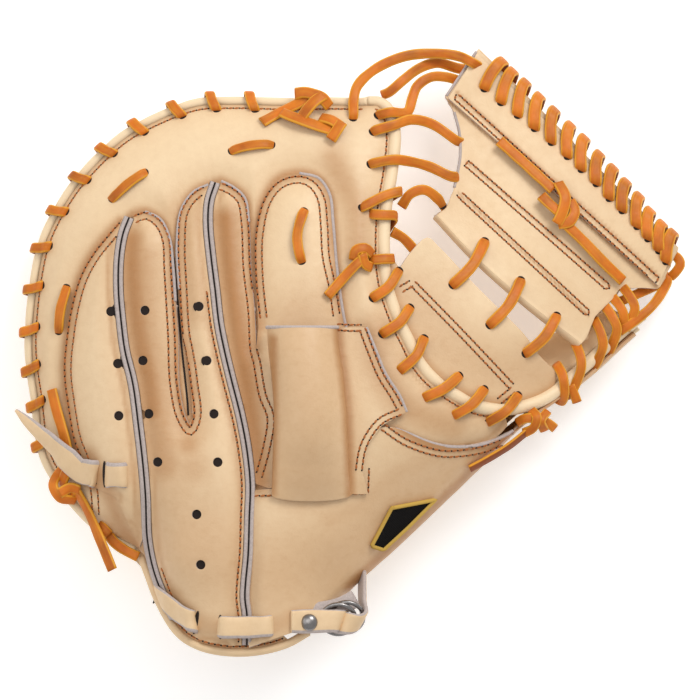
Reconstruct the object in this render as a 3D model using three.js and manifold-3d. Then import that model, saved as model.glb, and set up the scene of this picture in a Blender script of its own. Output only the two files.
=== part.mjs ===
// Catcher mitt for the left hand, lying on its pocket with its back up.
// Millimetres. X runs from the little finger to the web, Y from the wrist to the fingertips, Z up.
// The origin is on the ground under the middle of the mitt.
import * as THREE from 'three';
import { mergeVertices } from 'three/addons/utils/BufferGeometryUtils.js';
import Module from 'manifold-3d';

const wasm = await Module();
wasm.setup();

// Driving sizes
const LEATHER = 2.0;
const GAP = 0.3;
const LACE_WIDTH = 5.2;
const LACE_THICK = 1.8;
const RIM_ROLL = 2.3;
const CROTCH_ROLL = 3.1;
const BINDING_ROLL = 2.1;
const PANEL_PITCH = 20;
const BAND_LIFT = LEATHER + 0.8;
const FOLD_RADIUS = 4.2;
const VENT_RADIUS = 2.2;
const STRAP_WIDTH = 12;
const STRAP_THICK = 2.2;
const OVERLAY_LIFT = LEATHER + GAP;
const THUMB_LIFT = OVERLAY_LIFT + 1.2;
const HOOD_LIFT = 2 * OVERLAY_LIFT + 1.6;
const SKY = 220;
const RESTING = 1.3;
const RING_RADIUS = 8.5;
const RING_WIRE = 1;
const SNAP_RADIUS = 4.2;
const HOLE_GROW = 0.63;
const FAT_GROW = 0.35;

// Leather and metal colours
const TAN = { color: 0xe6c79b, roughness: 0.62, metalness: 0 };
const CREAM = { color: 0xf0dcb8, roughness: 0.6, metalness: 0 };
const SUEDE = { color: 0xbdb2b0, roughness: 0.95, metalness: 0 };
const LACE = { color: 0xc8702e, roughness: 0.5, metalness: 0 };
const STEEL = { color: 0xb9b9bb, roughness: 0.3, metalness: 1 };
const PATCH = { color: 0x26221f, roughness: 0.9, metalness: 0 };

// Reads rows of numbers into objects with named columns
const table = (columns, rows) => rows.map((row) => Object.fromEntries(columns.map((name, i) => [name, row[i]])));
const place = ['x', 'y', 'z'];
const flat = ['x', 'y'];

// Middle of the rolled finger rim, from the web round to the wrist
const FINGER_RIM = table(place, [
  [7, 124.8, 40.5], [-10, 125, 39], [-33, 124.8, 37.5], [-58, 125.4, 36], [-77, 124.4, 35], [-100, 115.6, 34.5],
  [-113.5, 108, 34], [-126, 97, 34], [-138, 83.5, 34], [-147.8, 68, 34], [-154, 54, 34], [-158.6, 31, 34],
  [-160.6, 1, 34], [-157.6, -24, 35], [-153.6, -51, 37], [-146, -65.6, 39], [-131.6, -83, 43], [-120, -92, 46],
  [-107, -99.4, 49.5],
]);

// Middle of the roll round the web opening, from the finger rim down and out to the thumb tip
const CROTCH_RIM = table(place, [
  [9.5, 125.4, 41.5], [15, 124.9, 43], [19.6, 121, 44.5], [22.5, 110, 48], [21, 90, 54], [18.6, 76, 58.5],
  [17.3, 64, 62], [17, 50, 65], [17.5, 40, 66.5], [19.6, 29, 68], [25, 14, 69.5], [29.5, 5, 70], [35, -6, 69.5],
  [42, -14, 68.5], [54, -22.6, 65.5], [65, -27.6, 61], [78, -29, 55], [92, -26, 48], [101, -21.5, 43],
  [110, -14, 39], [120, -5.5, 35], [135, 8.6, 31], [147, 18.6, 29],
]);

// Middle of the binding along the wrist edge of the back
const HEEL_EDGE = table(place, [
  [-104, -102.6, 51], [-100.5, -111.5, 55], [-96, -123, 61], [-88, -137, 69], [-82, -143, 73], [-73.5, -147.2, 76.5],
  [-63, -149.4, 79], [-51, -149.7, 80.5], [-39.5, -148, 81], [-30, -145, 80], [-20.5, -139.6, 77.5],
]);

// Middle of the roll along the lower edge of the thumb
const THUMB_RIM = table(place, [
  [0, -117, 31.1], [14, -104, 26.9], [27, -92.5, 21.8], [43, -77, 18.3], [58, -63, 16.3], [72, -49.5, 15.4],
  [84, -37, 15.1], [97, -27, 15.2], [109, -17.5, 15.2], [122, -6.5, 15.2], [134, 4, 16.2], [144.5, 12.5, 18.2],
]);

// Heights of the back between its edges
const BACK_HEIGHTS = table(place, [
  [-141, 40, 46], [-144, 0, 47], [-138, -40, 51], [-122, -70, 57], [-122, 60, 52], [-118, 15, 59], [-115, -30, 64],
  [-102, -70, 69], [-92, -105, 68], [-100, 90, 47], [-85, 60, 58], [-75, 20, 66], [-73, -30, 73], [-72, -80, 78],
  [-70, -120, 78], [-60, 95, 51], [-45, 60, 62], [-35, 20, 72], [-32, -30, 79], [-32, -80, 83], [-38, -125, 81],
  [-20, 100, 52], [-5, 70, 62], [-5, 40, 69], [-5, 0, 74], [0, -35, 78], [5, -65, 74], [-5, -95, 73],
  [25, -40, 72], [35, -62, 60], [20, -80, 61], [55, -48, 55], [72, -44, 47], [8, -110, 57], [27, -93, 50],
  [51, -70.5, 43], [66, -57, 40], [82, -40, 41], [-8, -126, 66],
]);

// Heights of the web's back
const WEB_HEIGHTS = table(place, [
  [64, 151, 27], [90, 126, 26], [114, 102, 25], [140, 77, 23.5], [165, 52, 22], [50, 120, 34], [53, 85, 42],
  [45, 66, 47], [60, 47, 50], [75, 30, 50], [92, 16, 47], [110, 4, 42], [155, 35, 24], [125, 30, 35],
  [85, 80, 38], [115, 62, 34], [70, 110, 33],
]);

// Heights of the leather between the crotch roll and the web
const BASE_HEIGHTS = table(place, [
  [22, 46, 64], [24, 30, 66], [30, 16, 67], [36, 5, 67], [42, -5, 66.5], [56, -16, 63], [67, -21, 58.5], [79, -22, 53],
  [92, -19, 46], [39, 57, 58], [45, 52, 57], [62, 34, 56], [73, 23, 55], [87, 9, 51], [95, -2, 46], [103, -12, 41],
]);

// A smooth height field through a table of heights
function thinPlate(rows, ease = 0.4) {
  const count = rows.length;
  const size = count + 3;
  const bump = (dx, dy) => {
    const squared = (dx * dx + dy * dy) / 10000;
    return squared > 0 ? squared * Math.log(squared) : 0;
  };
  const grid = Array.from({ length: size }, () => new Float64Array(size + 1));
  rows.forEach((a, i) => {
    rows.forEach((b, j) => { grid[i][j] = bump(a.x - b.x, a.y - b.y) + (i === j ? ease * 0.01 : 0); });
    [1, a.x / 100, a.y / 100].forEach((term, k) => {
      grid[i][count + k] = term;
      grid[count + k][i] = term;
    });
    grid[i][size] = a.z;
  });
  for (let col = 0; col < size; col += 1) {
    let best = col;
    for (let row = col + 1; row < size; row += 1) {
      if (Math.abs(grid[row][col]) > Math.abs(grid[best][col])) best = row;
    }
    [grid[col], grid[best]] = [grid[best], grid[col]];
    for (let row = 0; row < size; row += 1) {
      if (row === col) continue;
      const factor = grid[row][col] / grid[col][col];
      for (let k = col; k <= size; k += 1) grid[row][k] -= factor * grid[col][k];
    }
  }
  const weights = grid.map((row, i) => row[size] / row[i]);
  return (x, y) => {
    const level = weights[count] + weights[count + 1] * x / 100 + weights[count + 2] * y / 100;
    return rows.reduce((sum, row, i) => sum + weights[i] * bump(x - row.x, y - row.y), level);
  };
}

const shifted = (rows, rise) => rows.map((row) => ({ ...row, z: row.z + rise }));
const backHeight = thinPlate([
  ...shifted(FINGER_RIM, GAP / 2), ...shifted(HEEL_EDGE, -OVERLAY_LIFT), ...shifted(CROTCH_RIM.slice(1, 18), -1),
  ...BACK_HEIGHTS,
]);
const webHeight = thinPlate(WEB_HEIGHTS);
const baseHeight = thinPlate(BASE_HEIGHTS);
const on = (height, x, y, lift = 0) => new THREE.Vector3(x, y, height(x, y) + lift);
const vectors = (rows) => rows.map((row) => new THREE.Vector3(row.x, row.y, row.z));
const smoothPath = (points) => new THREE.CatmullRomCurve3(points, false, 'centripetal');

// Solids and cuts
function solidOf(geometry) {
  const bare = geometry.clone();
  bare.deleteAttribute('normal');
  bare.deleteAttribute('uv');
  const merged = mergeVertices(bare, 1e-4);
  return new wasm.Manifold(new wasm.Mesh({
    numProp: 3,
    vertProperties: new Float32Array(merged.attributes.position.array),
    triVerts: new Uint32Array(merged.index.array),
  }));
}

function geometryOf(solid) {
  const mesh = solid.getMesh();
  const geometry = new THREE.BufferGeometry();
  geometry.setAttribute('position', new THREE.BufferAttribute(mesh.vertProperties, 3));
  geometry.setIndex(new THREE.BufferAttribute(mesh.triVerts, 1));
  geometry.computeVertexNormals();
  return geometry;
}

const cut = (solid, ...tools) => tools.flat().reduce((left, tool) => left.subtract(tool), solid);
const join = (...solids) => solids.flat().reduce((whole, solid) => whole.add(solid));

// A closed solid between two grids of points with the same rows and columns;
// from the fold column on the squares are split the other way, so both layers of a folded sheet match
function gridSolid(upper, lower, foldColumn = Infinity) {
  const rows = upper.length;
  const cols = upper[0].length;
  const positions = [...upper.flat(), ...lower.flat()].flatMap((point) => [point.x, point.y, point.z]);
  const faces = [];
  const top = (r, c) => r * cols + c;
  const bottom = (r, c) => rows * cols + r * cols + c;
  const quad = (a, b, c, d) => faces.push(a, b, c, a, c, d);
  for (let r = 0; r < rows - 1; r += 1) {
    for (let c = 0; c < cols - 1; c += 1) {
      if (c < foldColumn) {
        quad(top(r, c), top(r + 1, c), top(r + 1, c + 1), top(r, c + 1));
        quad(bottom(r, c), bottom(r, c + 1), bottom(r + 1, c + 1), bottom(r + 1, c));
      } else {
        quad(top(r + 1, c), top(r + 1, c + 1), top(r, c + 1), top(r, c));
        quad(bottom(r + 1, c), bottom(r, c), bottom(r, c + 1), bottom(r + 1, c + 1));
      }
    }
  }
  for (let r = 0; r < rows - 1; r += 1) {
    quad(top(r, 0), bottom(r, 0), bottom(r + 1, 0), top(r + 1, 0));
    quad(top(r, cols - 1), top(r + 1, cols - 1), bottom(r + 1, cols - 1), bottom(r, cols - 1));
  }
  for (let c = 0; c < cols - 1; c += 1) {
    quad(top(0, c), top(0, c + 1), bottom(0, c + 1), bottom(0, c));
    quad(top(rows - 1, c), bottom(rows - 1, c), bottom(rows - 1, c + 1), top(rows - 1, c + 1));
  }
  const geometry = new THREE.BufferGeometry();
  geometry.setAttribute('position', new THREE.Float32BufferAttribute(positions, 3));
  geometry.setIndex(faces);
  const solid = solidOf(geometry);
  if (solid.volume() > 0) return solid;
  geometry.setIndex(faces.flatMap((_, i) => (i % 3 === 0 ? [faces[i], faces[i + 2], faces[i + 1]] : [])));
  return solidOf(geometry);
}

const spread = (from, to, count) => Array.from({ length: count }, (_, i) => from + (to - from) * i / (count - 1));

// A sheet over a height field, cut to a closed outline seen from above
function panel(outline, height, lift, thick = LEATHER, pitch = PANEL_PITCH) {
  const box = new THREE.Box2().setFromPoints(outline);
  const steps = (low, high) => {
    const first = Math.floor((low - 1) / pitch);
    const last = Math.ceil((high + 1) / pitch);
    return spread(first * pitch, last * pitch, last - first + 1);
  };
  const level = (rise) => steps(box.min.x, box.max.x).map(
    (x) => steps(box.min.y, box.max.y).map((y) => on(height, x, y, rise)),
  );
  return gridSolid(level(lift + thick), level(lift)).intersect(prism(outline));
}

// An upright prism over an outline
function prism(outline, low = -10, high = SKY) {
  const shape = new THREE.Shape(outline.map((point) => new THREE.Vector2(point.x, point.y)));
  const geometry = new THREE.ExtrudeGeometry(shape, { depth: high - low, bevelEnabled: false });
  return solidOf(geometry.translate(0, 0, low));
}

// A closed outline that passes smoothly through a table of places, split at its sharp corners
const outlineOf = (...runs) => runs.flatMap((run) => {
  if (run.length < 3) return run.map((row) => new THREE.Vector2(row.x, row.y));
  const curve = smoothPath(run.map((row) => new THREE.Vector3(row.x, row.y, 0)));
  return curve.getPoints(run.length).map((point) => new THREE.Vector2(point.x, point.y));
});

// A run of places moved sideways in plan, to the left of its direction when the distance is positive
function beside(rows, distance) {
  const curve = smoothPath(vectors(rows));
  return rows.map((row, i) => {
    const tangent = curve.getTangent(i / (rows.length - 1));
    const length = Math.hypot(tangent.x, tangent.y);
    return { x: row.x - tangent.y / length * distance, y: row.y + tangent.x / length * distance, z: row.z };
  });
}

// A round roll along a path
function roll(points, radius, steps, sides = 6) {
  const section = new THREE.Shape(Array.from({ length: sides }, (_, i) => {
    const turn = 2 * Math.PI * (i + 0.5) / sides;
    return new THREE.Vector2(radius * Math.cos(turn), radius * Math.sin(turn));
  }));
  return solidOf(new THREE.ExtrudeGeometry(section, { steps, bevelEnabled: false, extrudePath: smoothPath(points) }));
}

// The direction of a strip's width at each of its points
function sidesOf(points, { sides, height }) {
  return points.map((point, i) => {
    if (sides) return sides[Math.min(i, sides.length - 1)].clone();
    const ahead = points[Math.min(i + 1, points.length - 1)];
    const behind = points[Math.max(i - 1, 0)];
    const side = new THREE.Vector3(behind.y - ahead.y, ahead.x - behind.x, 0).normalize();
    if (height) side.z = (height(point.x + side.x, point.y + side.y) - height(point.x - side.x, point.y - side.y)) / 2;
    return side;
  });
}

// A flat strip of leather through a run of points
function thong(points, options = {}) {
  const { width = LACE_WIDTH, thick = LACE_THICK } = options;
  const path = smoothPath(points);
  const sides = sidesOf(points, options);
  const rings = points.map((centre, i) => {
    const along = path.getTangent(i / (points.length - 1));
    const across = sides[i].addScaledVector(along, -sides[i].dot(along)).normalize();
    const up = new THREE.Vector3().crossVectors(along, across);
    const corner = (a, b) => centre.clone().addScaledVector(across, a * width / 2).addScaledVector(up, b * thick / 2);
    return [corner(1, 1), corner(-1, 1), corner(-1, -1), corner(1, -1)];
  });
  const positions = rings.flat().flatMap((point) => [point.x, point.y, point.z]);
  const faces = [0, 1, 2, 0, 2, 3];
  for (let r = 0; r < points.length - 1; r += 1) {
    for (let k = 0; k < 4; k += 1) {
      const a = r * 4 + k;
      const b = r * 4 + (k + 1) % 4;
      faces.push(a, a + 4, b + 4, a, b + 4, b);
    }
  }
  const last = (points.length - 1) * 4;
  faces.push(last, last + 2, last + 1, last, last + 3, last + 2);
  const geometry = new THREE.BufferGeometry();
  geometry.setAttribute('position', new THREE.Float32BufferAttribute(positions, 3));
  geometry.setIndex(faces);
  const solid = solidOf(geometry);
  if (solid.volume() > 0) return solid;
  geometry.setIndex(faces.flatMap((_, i) => (i % 3 === 0 ? [faces[i], faces[i + 2], faces[i + 1]] : [])));
  return solidOf(geometry);
}

// A straight slot from one point of a lace to the next
function slot(points, sides, start, options) {
  const { width = LACE_WIDTH, thick = LACE_THICK } = options;
  const along = points[start + 1].clone().sub(points[start]);
  const length = along.length() + 2 * HOLE_GROW;
  along.normalize();
  const across = sides[start].clone().lerp(sides[start + 1], 0.5);
  across.addScaledVector(along, -across.dot(along)).normalize();
  const box = new THREE.BoxGeometry(width + 2 * HOLE_GROW, thick + 2 * HOLE_GROW, length);
  const turn = new THREE.Matrix4().makeBasis(across, new THREE.Vector3().crossVectors(along, across), along);
  return solidOf(box.applyMatrix4(turn.setPosition(points[start].clone().lerp(points[start + 1], 0.5))));
}

// Every lace is kept with the tools that cut its way: slots where starts are given, or else one fatter strip
const laces = {};
function lace(name, points, options, starts) {
  const { width = LACE_WIDTH, thick = LACE_THICK } = options;
  const fat = () => [thong(points, { ...options, width: width + 2 * FAT_GROW, thick: thick + 2 * FAT_GROW })];
  const slots = () => {
    const sides = sidesOf(points, options);
    return starts.filter((start) => start < points.length - 1).map((start) => slot(points, sides, start, options));
  };
  laces[name] = { solid: thong(points, options), tools: starts ? slots() : fat() };
}
const everyTurn = (turns, size, starts) => Array.from({ length: turns }, (_, turn) => starts
  .map((start) => start + turn * size)).flat();

// Palm sections from the finger side round the heel to the thumb, each from the rim to the crotch roll
const PALM_SECTIONS = table(
  ['rimX', 'rimY', 'rimZ', 'rollX', 'rollY', 'rollZ', 'foot', 'footZ', 'cheekX', 'cheekY', 'cheekZ'],
  [
    [4, 124.9, 40.3, 22, 116, 46, 8, 20, 13, 113, 34],
    [-20, 124.9, 38, 22, 104, 49.5, 14, 7, 6, 104, 30],
    [-66, 125, 35.5, 20, 84, 55.5, 20, 1, -15, 94, 26],
    [-107, 112, 34.2, 18, 66, 61, 26, 0, -35, 78, 26],
    [-144, 74.5, 34, 17, 50, 65, 29, 0, -45, 58, 27],
    [-160, 12, 34, 19, 31, 67.5, 30, 0, -50, 25, 27],
    [-153.6, -51, 37, 25, 14, 69.5, 30, 0, -45, -15, 27],
    [-127, -87, 43, 30.5, 3, 70, 27, 0, -35, -35, 27],
    [-96, -121, 31, 36, -7, 69.5, 24, 0, -20, -50, 27],
    [-56, -143, 28, 43, -15, 68.5, 24, 0, -5, -60, 27],
    [-14, -127, 29, 53, -22, 66, 22, 0, 14, -60, 27],
    [27, -92.5, 21, 65, -27.6, 61, 18, 0, 40, -48, 27],
    [58, -63, 15.5, 79, -29, 54.5, 16, 0, 58, -30, 26],
    [84, -37, 14, 96, -24, 46, 13, 0, 72, -13, 24],
    [116, -11.5, 14, 118, -7.5, 36, 11, 0.5, 101, 8, 20],
    [142, 10.5, 16.5, 143, 15, 30, 7, 4, 131, 22, 20],
  ],
);

function palmGrids() {
  const columns = Object.keys(PALM_SECTIONS[0]);
  const stations = 22;
  const sections = spread(0, PALM_SECTIONS.length - 1, stations).map((place_) => {
    const at = Math.min(Math.floor(place_), PALM_SECTIONS.length - 2);
    const t = place_ - at;
    const pick = (k) => PALM_SECTIONS[Math.max(0, Math.min(PALM_SECTIONS.length - 1, k))];
    return Object.fromEntries(columns.map((name) => {
      const [a, b, c, d] = [at - 1, at, at + 1, at + 2].map((k) => pick(k)[name]);
      const value = b + 0.5 * t * (c - a + t * (2 * a - 5 * b + 4 * c - d + t * (3 * (b - c) + d - a)));
      return [name, value];
    }));
  });
  const THICKNESS = [2.3, 2.6, 6, 9, 9, 8, 7, 6, 5, 3.5];
  const palm = [];
  const hand = [];
  sections.forEach((section, index) => {
    const rim = new THREE.Vector3(section.rimX, section.rimY, section.rimZ);
    const rollMiddle = new THREE.Vector3(section.rollX, section.rollY, section.rollZ);
    const cheek = new THREE.Vector3(section.cheekX, section.cheekY, section.cheekZ);
    const next = sections[Math.min(index + 1, stations - 1)];
    const last = sections[Math.max(index - 1, 0)];
    const inward = new THREE.Vector3(last.rimY - next.rimY, next.rimX - last.rimX, 0).normalize();
    const reach = Math.min(1, section.foot / 24);
    const at = (inset, z) => rim.clone().addScaledVector(inward, inset).setZ(z);
    const toRoll = rollMiddle.clone().sub(cheek).setZ(0).normalize();
    const edge = rollMiddle.clone().addScaledVector(toRoll, -(CROTCH_ROLL + 1)).setZ(section.rollZ - 3.8);
    const curve = smoothPath([
      at(RIM_ROLL + 5 * GAP, section.rimZ - 2.8),
      at(3 + 6.5 * reach, section.rimZ - 3.2),
      at(3 + 8.5 * reach, section.footZ + (section.rimZ - section.footZ) * 0.5),
      at(section.foot * 0.75, section.footZ + 0.6),
      at(section.foot * 1.15, section.footZ),
      at(section.foot * 1.6, section.footZ + 1.6),
      cheek,
      cheek.clone().lerp(edge, 0.55).setZ(THREE.MathUtils.lerp(section.cheekZ, edge.z, 0.5)),
      edge,
    ]);
    const line = spread(0, 1, THICKNESS.length).map((t) => curve.getPoint(t));
    line.forEach((point) => { if (point.z < RESTING) point.z = 0; });
    const slim = Math.min(1, 0.35 + section.foot / 34);
    palm.push(line);
    hand.push(line.map((point, i) => {
      const t = i / (THICKNESS.length - 1);
      const along = curve.getTangent(t);
      const normal = new THREE.Vector3(-along.z * inward.x, -along.z * inward.y, along.dot(inward)).normalize();
      if (i === 0) normal.set(0, 0, 1);
      return point.clone().addScaledVector(normal, THICKNESS[i] * slim);
    }));
  });
  return { palm, hand };
}

// The panels of the back, seen from above
const SEAM_LITTLE = table(flat, [
  [-110, 67], [-113, 59], [-115, 47], [-115.3, 31], [-113.8, 14], [-112, 0.5], [-108, -16], [-105, -38],
  [-103, -55], [-101.6, -72], [-100.8, -94], [-97.8, -109], [-92.5, -123], [-87.5, -133], [-83, -141],
]);
const SEAM_MIDDLE = table(flat, [
  [-67, 84.5], [-70, 75], [-70.6, 64], [-69, 47], [-67, 31], [-65, 14], [-62.3, 0.5], [-58.8, -14],
  [-54, -33], [-51, -49], [-49.3, -66], [-49.8, -83], [-50.3, -100], [-52, -122], [-51, -131], [-51, -146],
]);
const WELT_HALF = 2.4;

const backOutline = () => outlineOf(
  beside(FINGER_RIM, RIM_ROLL + 2 * GAP),
  beside(HEEL_EDGE.slice(0, 10), BINDING_ROLL + 2 * GAP),
  table(flat, [[-40, -136], [-42, -78], [-6, -66], [2, -40], [6, 0], [10, 18]]),
  beside(CROTCH_RIM.slice(1, 10), -(CROTCH_ROLL + 2 * GAP)).reverse(),
);

const LITTLE_LEFT = table(flat, [
  [-114.4, 65.2], [-121, 58.5], [-128.5, 49], [-134.5, 38], [-138.5, 24], [-141, 9], [-142.5, -10], [-140.6, -28],
  [-137.4, -45], [-134, -58], [-127, -68],
]);
const little = () => outlineOf(
  beside(SEAM_LITTLE.slice(0, 11), -(WELT_HALF + GAP)).reverse(), LITTLE_LEFT,
  table(flat, [[-116, -73], [-110, -87]]), table(flat, [[-105, -98]]),
);

const RING_TIP = table(flat, [
  [-108.5, 68.5], [-102, 69.8], [-94.5, 66], [-90, 57], [-88, 42], [-86.8, 25], [-85.4, 8], [-85, -16],
  [-82, -31.5], [-80, -36],
]);
const MIDDLE_TIP = table(flat, [
  [-78, -33], [-79.3, -16], [-81.3, 1], [-83.4, 10], [-84.8, 31], [-86, 53], [-84, 70.5], [-78, 79.5], [-70.5, 83.3],
]);
const ringMiddle = () => outlineOf(
  beside(SEAM_LITTLE, WELT_HALF + GAP), beside(HEEL_EDGE.slice(5, 7), BINDING_ROLL + 2 * GAP),
  beside(SEAM_MIDDLE, -(WELT_HALF + GAP)).reverse(), MIDDLE_TIP.slice().reverse(), RING_TIP.slice().reverse(),
);

const INDEX_EDGE = table(flat, [
  [-64, 85], [-58, 82], [-52.3, 76.5], [-50.2, 64.5], [-49.3, 42], [-47.4, 20], [-46.4, 2],
]);
const INDEX_STALL = table(flat, [
  [-45.4, 12], [-46.6, 36], [-46.6, 59], [-42.5, 76.5], [-35, 86.5], [-25, 89], [-15.5, 86.5], [-10, 78.5],
  [-8.2, 64], [-6.3, 42], [-2.8, 17], [0, 6],
]);
const index = () => outlineOf(
  beside(SEAM_MIDDLE.slice(0, 11), WELT_HALF + GAP), table(flat, [[-40, -68], [0, -62]]),
  INDEX_STALL.slice().reverse(), INDEX_EDGE.slice().reverse(),
);

const lining = () => outlineOf(
  beside(CROTCH_RIM.slice(9, 17), -(CROTCH_ROLL + 2 * GAP)),
  table(flat, [[79, -37], [75, -41.5], [66, -47], [50, -49.5], [34, -46.5], [22, -39.5]]),
  table(flat, [[8, -30], [10, 0], [13, 20]]),
);

// The thumb panel runs from the middle seam over the thumb and down its side
const THUMB_SECTIONS = table(['innerX', 'innerY', 'outerX', 'outerY', 'footZ', 'tuck'], [
  [-47.8, -147, -24.5, -138.4, 71, 0], [-47.5, -128, -8, -126.5, 50, 1], [-47, -104, 8, -111.5, 33, 2],
  [-46.5, -76, 22, -99, 27, 2.5], [-10, -73.5, 36, -86, 22.8, 3], [9, -69, 47, -75.6, 20.4, 3],
  [13, -50, 55, -68, 19.2, 3], [24, -36.5, 60.5, -62.5, 18.6, 3], [36, -44.5, 66, -57.5, 18.2, 3],
  [51, -48, 72, -51.5, 17.8, 3], [66, -46.5, 78, -45, 17.6, 3], [80, -41, 85, -38.6, 17.6, 2.6],
  [92, -31, 94, -31.4, 17.6, 2.2], [103, -24, 104, -24.6, 17.6, 2], [112.5, -17, 113.5, -18, 17.6, 1.8],
  [122.5, -9, 123.5, -10, 17.6, 1.6], [137, 4.4, 138, 3.4, 18.6, 1.4], [147, 13.4, 148, 12.4, 21.2, 1.2],
]);

function thumbGrids() {
  const outer = [];
  const inner = [];
  const paths = Object.keys(THUMB_SECTIONS[0]).map((name) => [name, THUMB_SECTIONS.map((row) => row[name])]);
  const samples = spread(0, THUMB_SECTIONS.length - 1, 23);
  samples.forEach((place_) => {
    const at = Math.min(Math.floor(place_), THUMB_SECTIONS.length - 2);
    const section = Object.fromEntries(paths.map(([name, values]) => [
      name, THREE.MathUtils.lerp(values[at], values[at + 1], place_ - at),
    ]));
    const plan = new THREE.Vector2(section.outerX - section.innerX, section.outerY - section.innerY);
    const outward = place_ > 9 ? new THREE.Vector2(0.72, -0.69) : plan.clone().normalize();
    const edgeTop = Math.min(backHeight(section.outerX, section.outerY), rollHeight(section.outerX)) + THUMB_LIFT;
    const columnOf = (depth) => {
      const line = [0, 0.3, 0.6, 0.85].map((t) => {
        const x = section.innerX + plan.x * t;
        const y = section.innerY + plan.y * t;
        const z = place_ > 11 ? edgeTop : Math.max(backHeight(x, y), edgeTop - THUMB_LIFT) + THUMB_LIFT;
        return new THREE.Vector3(x - outward.x * depth * 0.2, y - outward.y * depth * 0.2, z + LEATHER - depth);
      });
      const wall = [[0, 0.12], [0.6, 0.45], [0.1, 0.8], [-section.tuck, 1]].map(([push, drop]) => {
        const z = THREE.MathUtils.lerp(edgeTop, section.footZ, drop);
        const x = section.outerX + outward.x * (push - depth);
        const y = section.outerY + outward.y * (push - depth);
        return new THREE.Vector3(x, y, drop === 0.12 ? z - depth * 0.5 : z);
      });
      return [...line, ...wall];
    };
    outer.push(columnOf(0));
    inner.push(columnOf(LEATHER));
  });
  return { outer, inner };
}

// Height of the crotch roll beside the upper thumb, where the back has run out
const crotchPath = smoothPath(vectors(CROTCH_RIM));
const crotchSamples = crotchPath.getPoints(120);
const rollHeight = (x) => (x < 86 ? SKY : crotchSamples.reduce(
  (best, point) => (Math.abs(point.x - x) < Math.abs(best.x - x) ? point : best),
).z - 4);

// The index hood: a half tube with a flap at its right
const HOOD_SECTIONS = table(['y', 'left', 'crease', 'flap', 'arch'], [
  [12, -41, -6, 8.5, 19], [1, -40.4, -5, 13, 21], [-11, -39, -3, 18, 21.5], [-22, -38, -2, 25, 21],
  [-30, -37.6, -1.2, 28.5, 20], [-37, -37.6, -1, 16, 18.5], [-47, -38, -0.5, 9, 15], [-60, -38.4, 0, 6.5, 8],
  [-71, -38.6, 0.5, 9.5, 0.5],
]);

function hoodGrids() {
  const upper = [];
  const lower = [];
  HOOD_SECTIONS.forEach((row) => {
    const lineOf = (lift) => {
      const tube = spread(0, 1, 8).map((t) => {
        const turn = Math.PI * t;
        const x = (row.left + row.crease) / 2 - (row.crease - row.left) / 2 * Math.cos(turn);
        const rise = row.arch * Math.sin(turn) ** 0.85;
        return on(backHeight, x, row.y, HOOD_LIFT + rise + lift);
      });
      const flap = [0.5, 1].map((t) => on(
        backHeight, THREE.MathUtils.lerp(row.crease, row.flap, t), row.y, HOOD_LIFT + lift,
      ));
      return [...tube, ...flap];
    };
    upper.push(lineOf(LEATHER));
    lower.push(lineOf(0));
  });
  return { upper, lower };
}

// Whip stitch: each turn goes over an edge, down through a hole and on underneath to the next turn
function whipPath(turns, profile) {
  const points = [];
  const sides = [];
  turns.forEach((turn) => {
    profile.forEach(([inset, rise, ahead, onLeather]) => {
      const point = turn.middle.clone().addScaledVector(turn.inward, inset).addScaledVector(turn.along, ahead);
      point.z = (onLeather ? backHeight(point.x, point.y) : turn.middle.z) + rise;
      points.push(point);
      sides.push(turn.along.clone());
    });
  });
  return { points, sides };
}

function turnsAlong(path, places, inwardSign) {
  return places.map((t) => {
    const along = path.getTangentAt(t);
    along.z = 0;
    along.normalize();
    const inward = new THREE.Vector3(-along.y, along.x, 0).multiplyScalar(inwardSign);
    return { middle: path.getPointAt(t), along, inward };
  });
}

// Nearest place along a path to a point in plan, as a share of its length
function shareAt(path, x, y) {
  const samples = 400;
  let best = 0;
  let least = Infinity;
  for (let i = 0; i <= samples; i += 1) {
    const point = path.getPointAt(i / samples);
    const distance = Math.hypot(point.x - x, point.y - y);
    if (distance < least) {
      least = distance;
      best = i / samples;
    }
  }
  return best;
}

const RIM_TURNS = table(flat, [
  [-49, 126], [-68, 124], [-87, 122], [-106, 113], [-122, 101], [-136, 88], [-147, 71], [-155, 52],
  [-159, 32], [-160, 11], [-159, -8], [-156, -26], [-155, -46],
]);
const fingerPath = smoothPath(vectors(FINGER_RIM));
const rimTurns = turnsAlong(fingerPath, RIM_TURNS.map((row) => shareAt(fingerPath, row.x, row.y)), 1);
const rimWhip = whipPath(rimTurns, [
  [1, -6.4, -2, false], [-4.2, -2.8, 0, false], [-4.2, 2.8, 0, false], [0.6, 5.2, 0, false],
  [6, LEATHER + 2.4, 0, true], [7.6, -7.2, 1, false],
]);
lace('rim_lace', rimWhip.points, { sides: rimWhip.sides }, everyTurn(RIM_TURNS.length, 6, [4, 5]));

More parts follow.
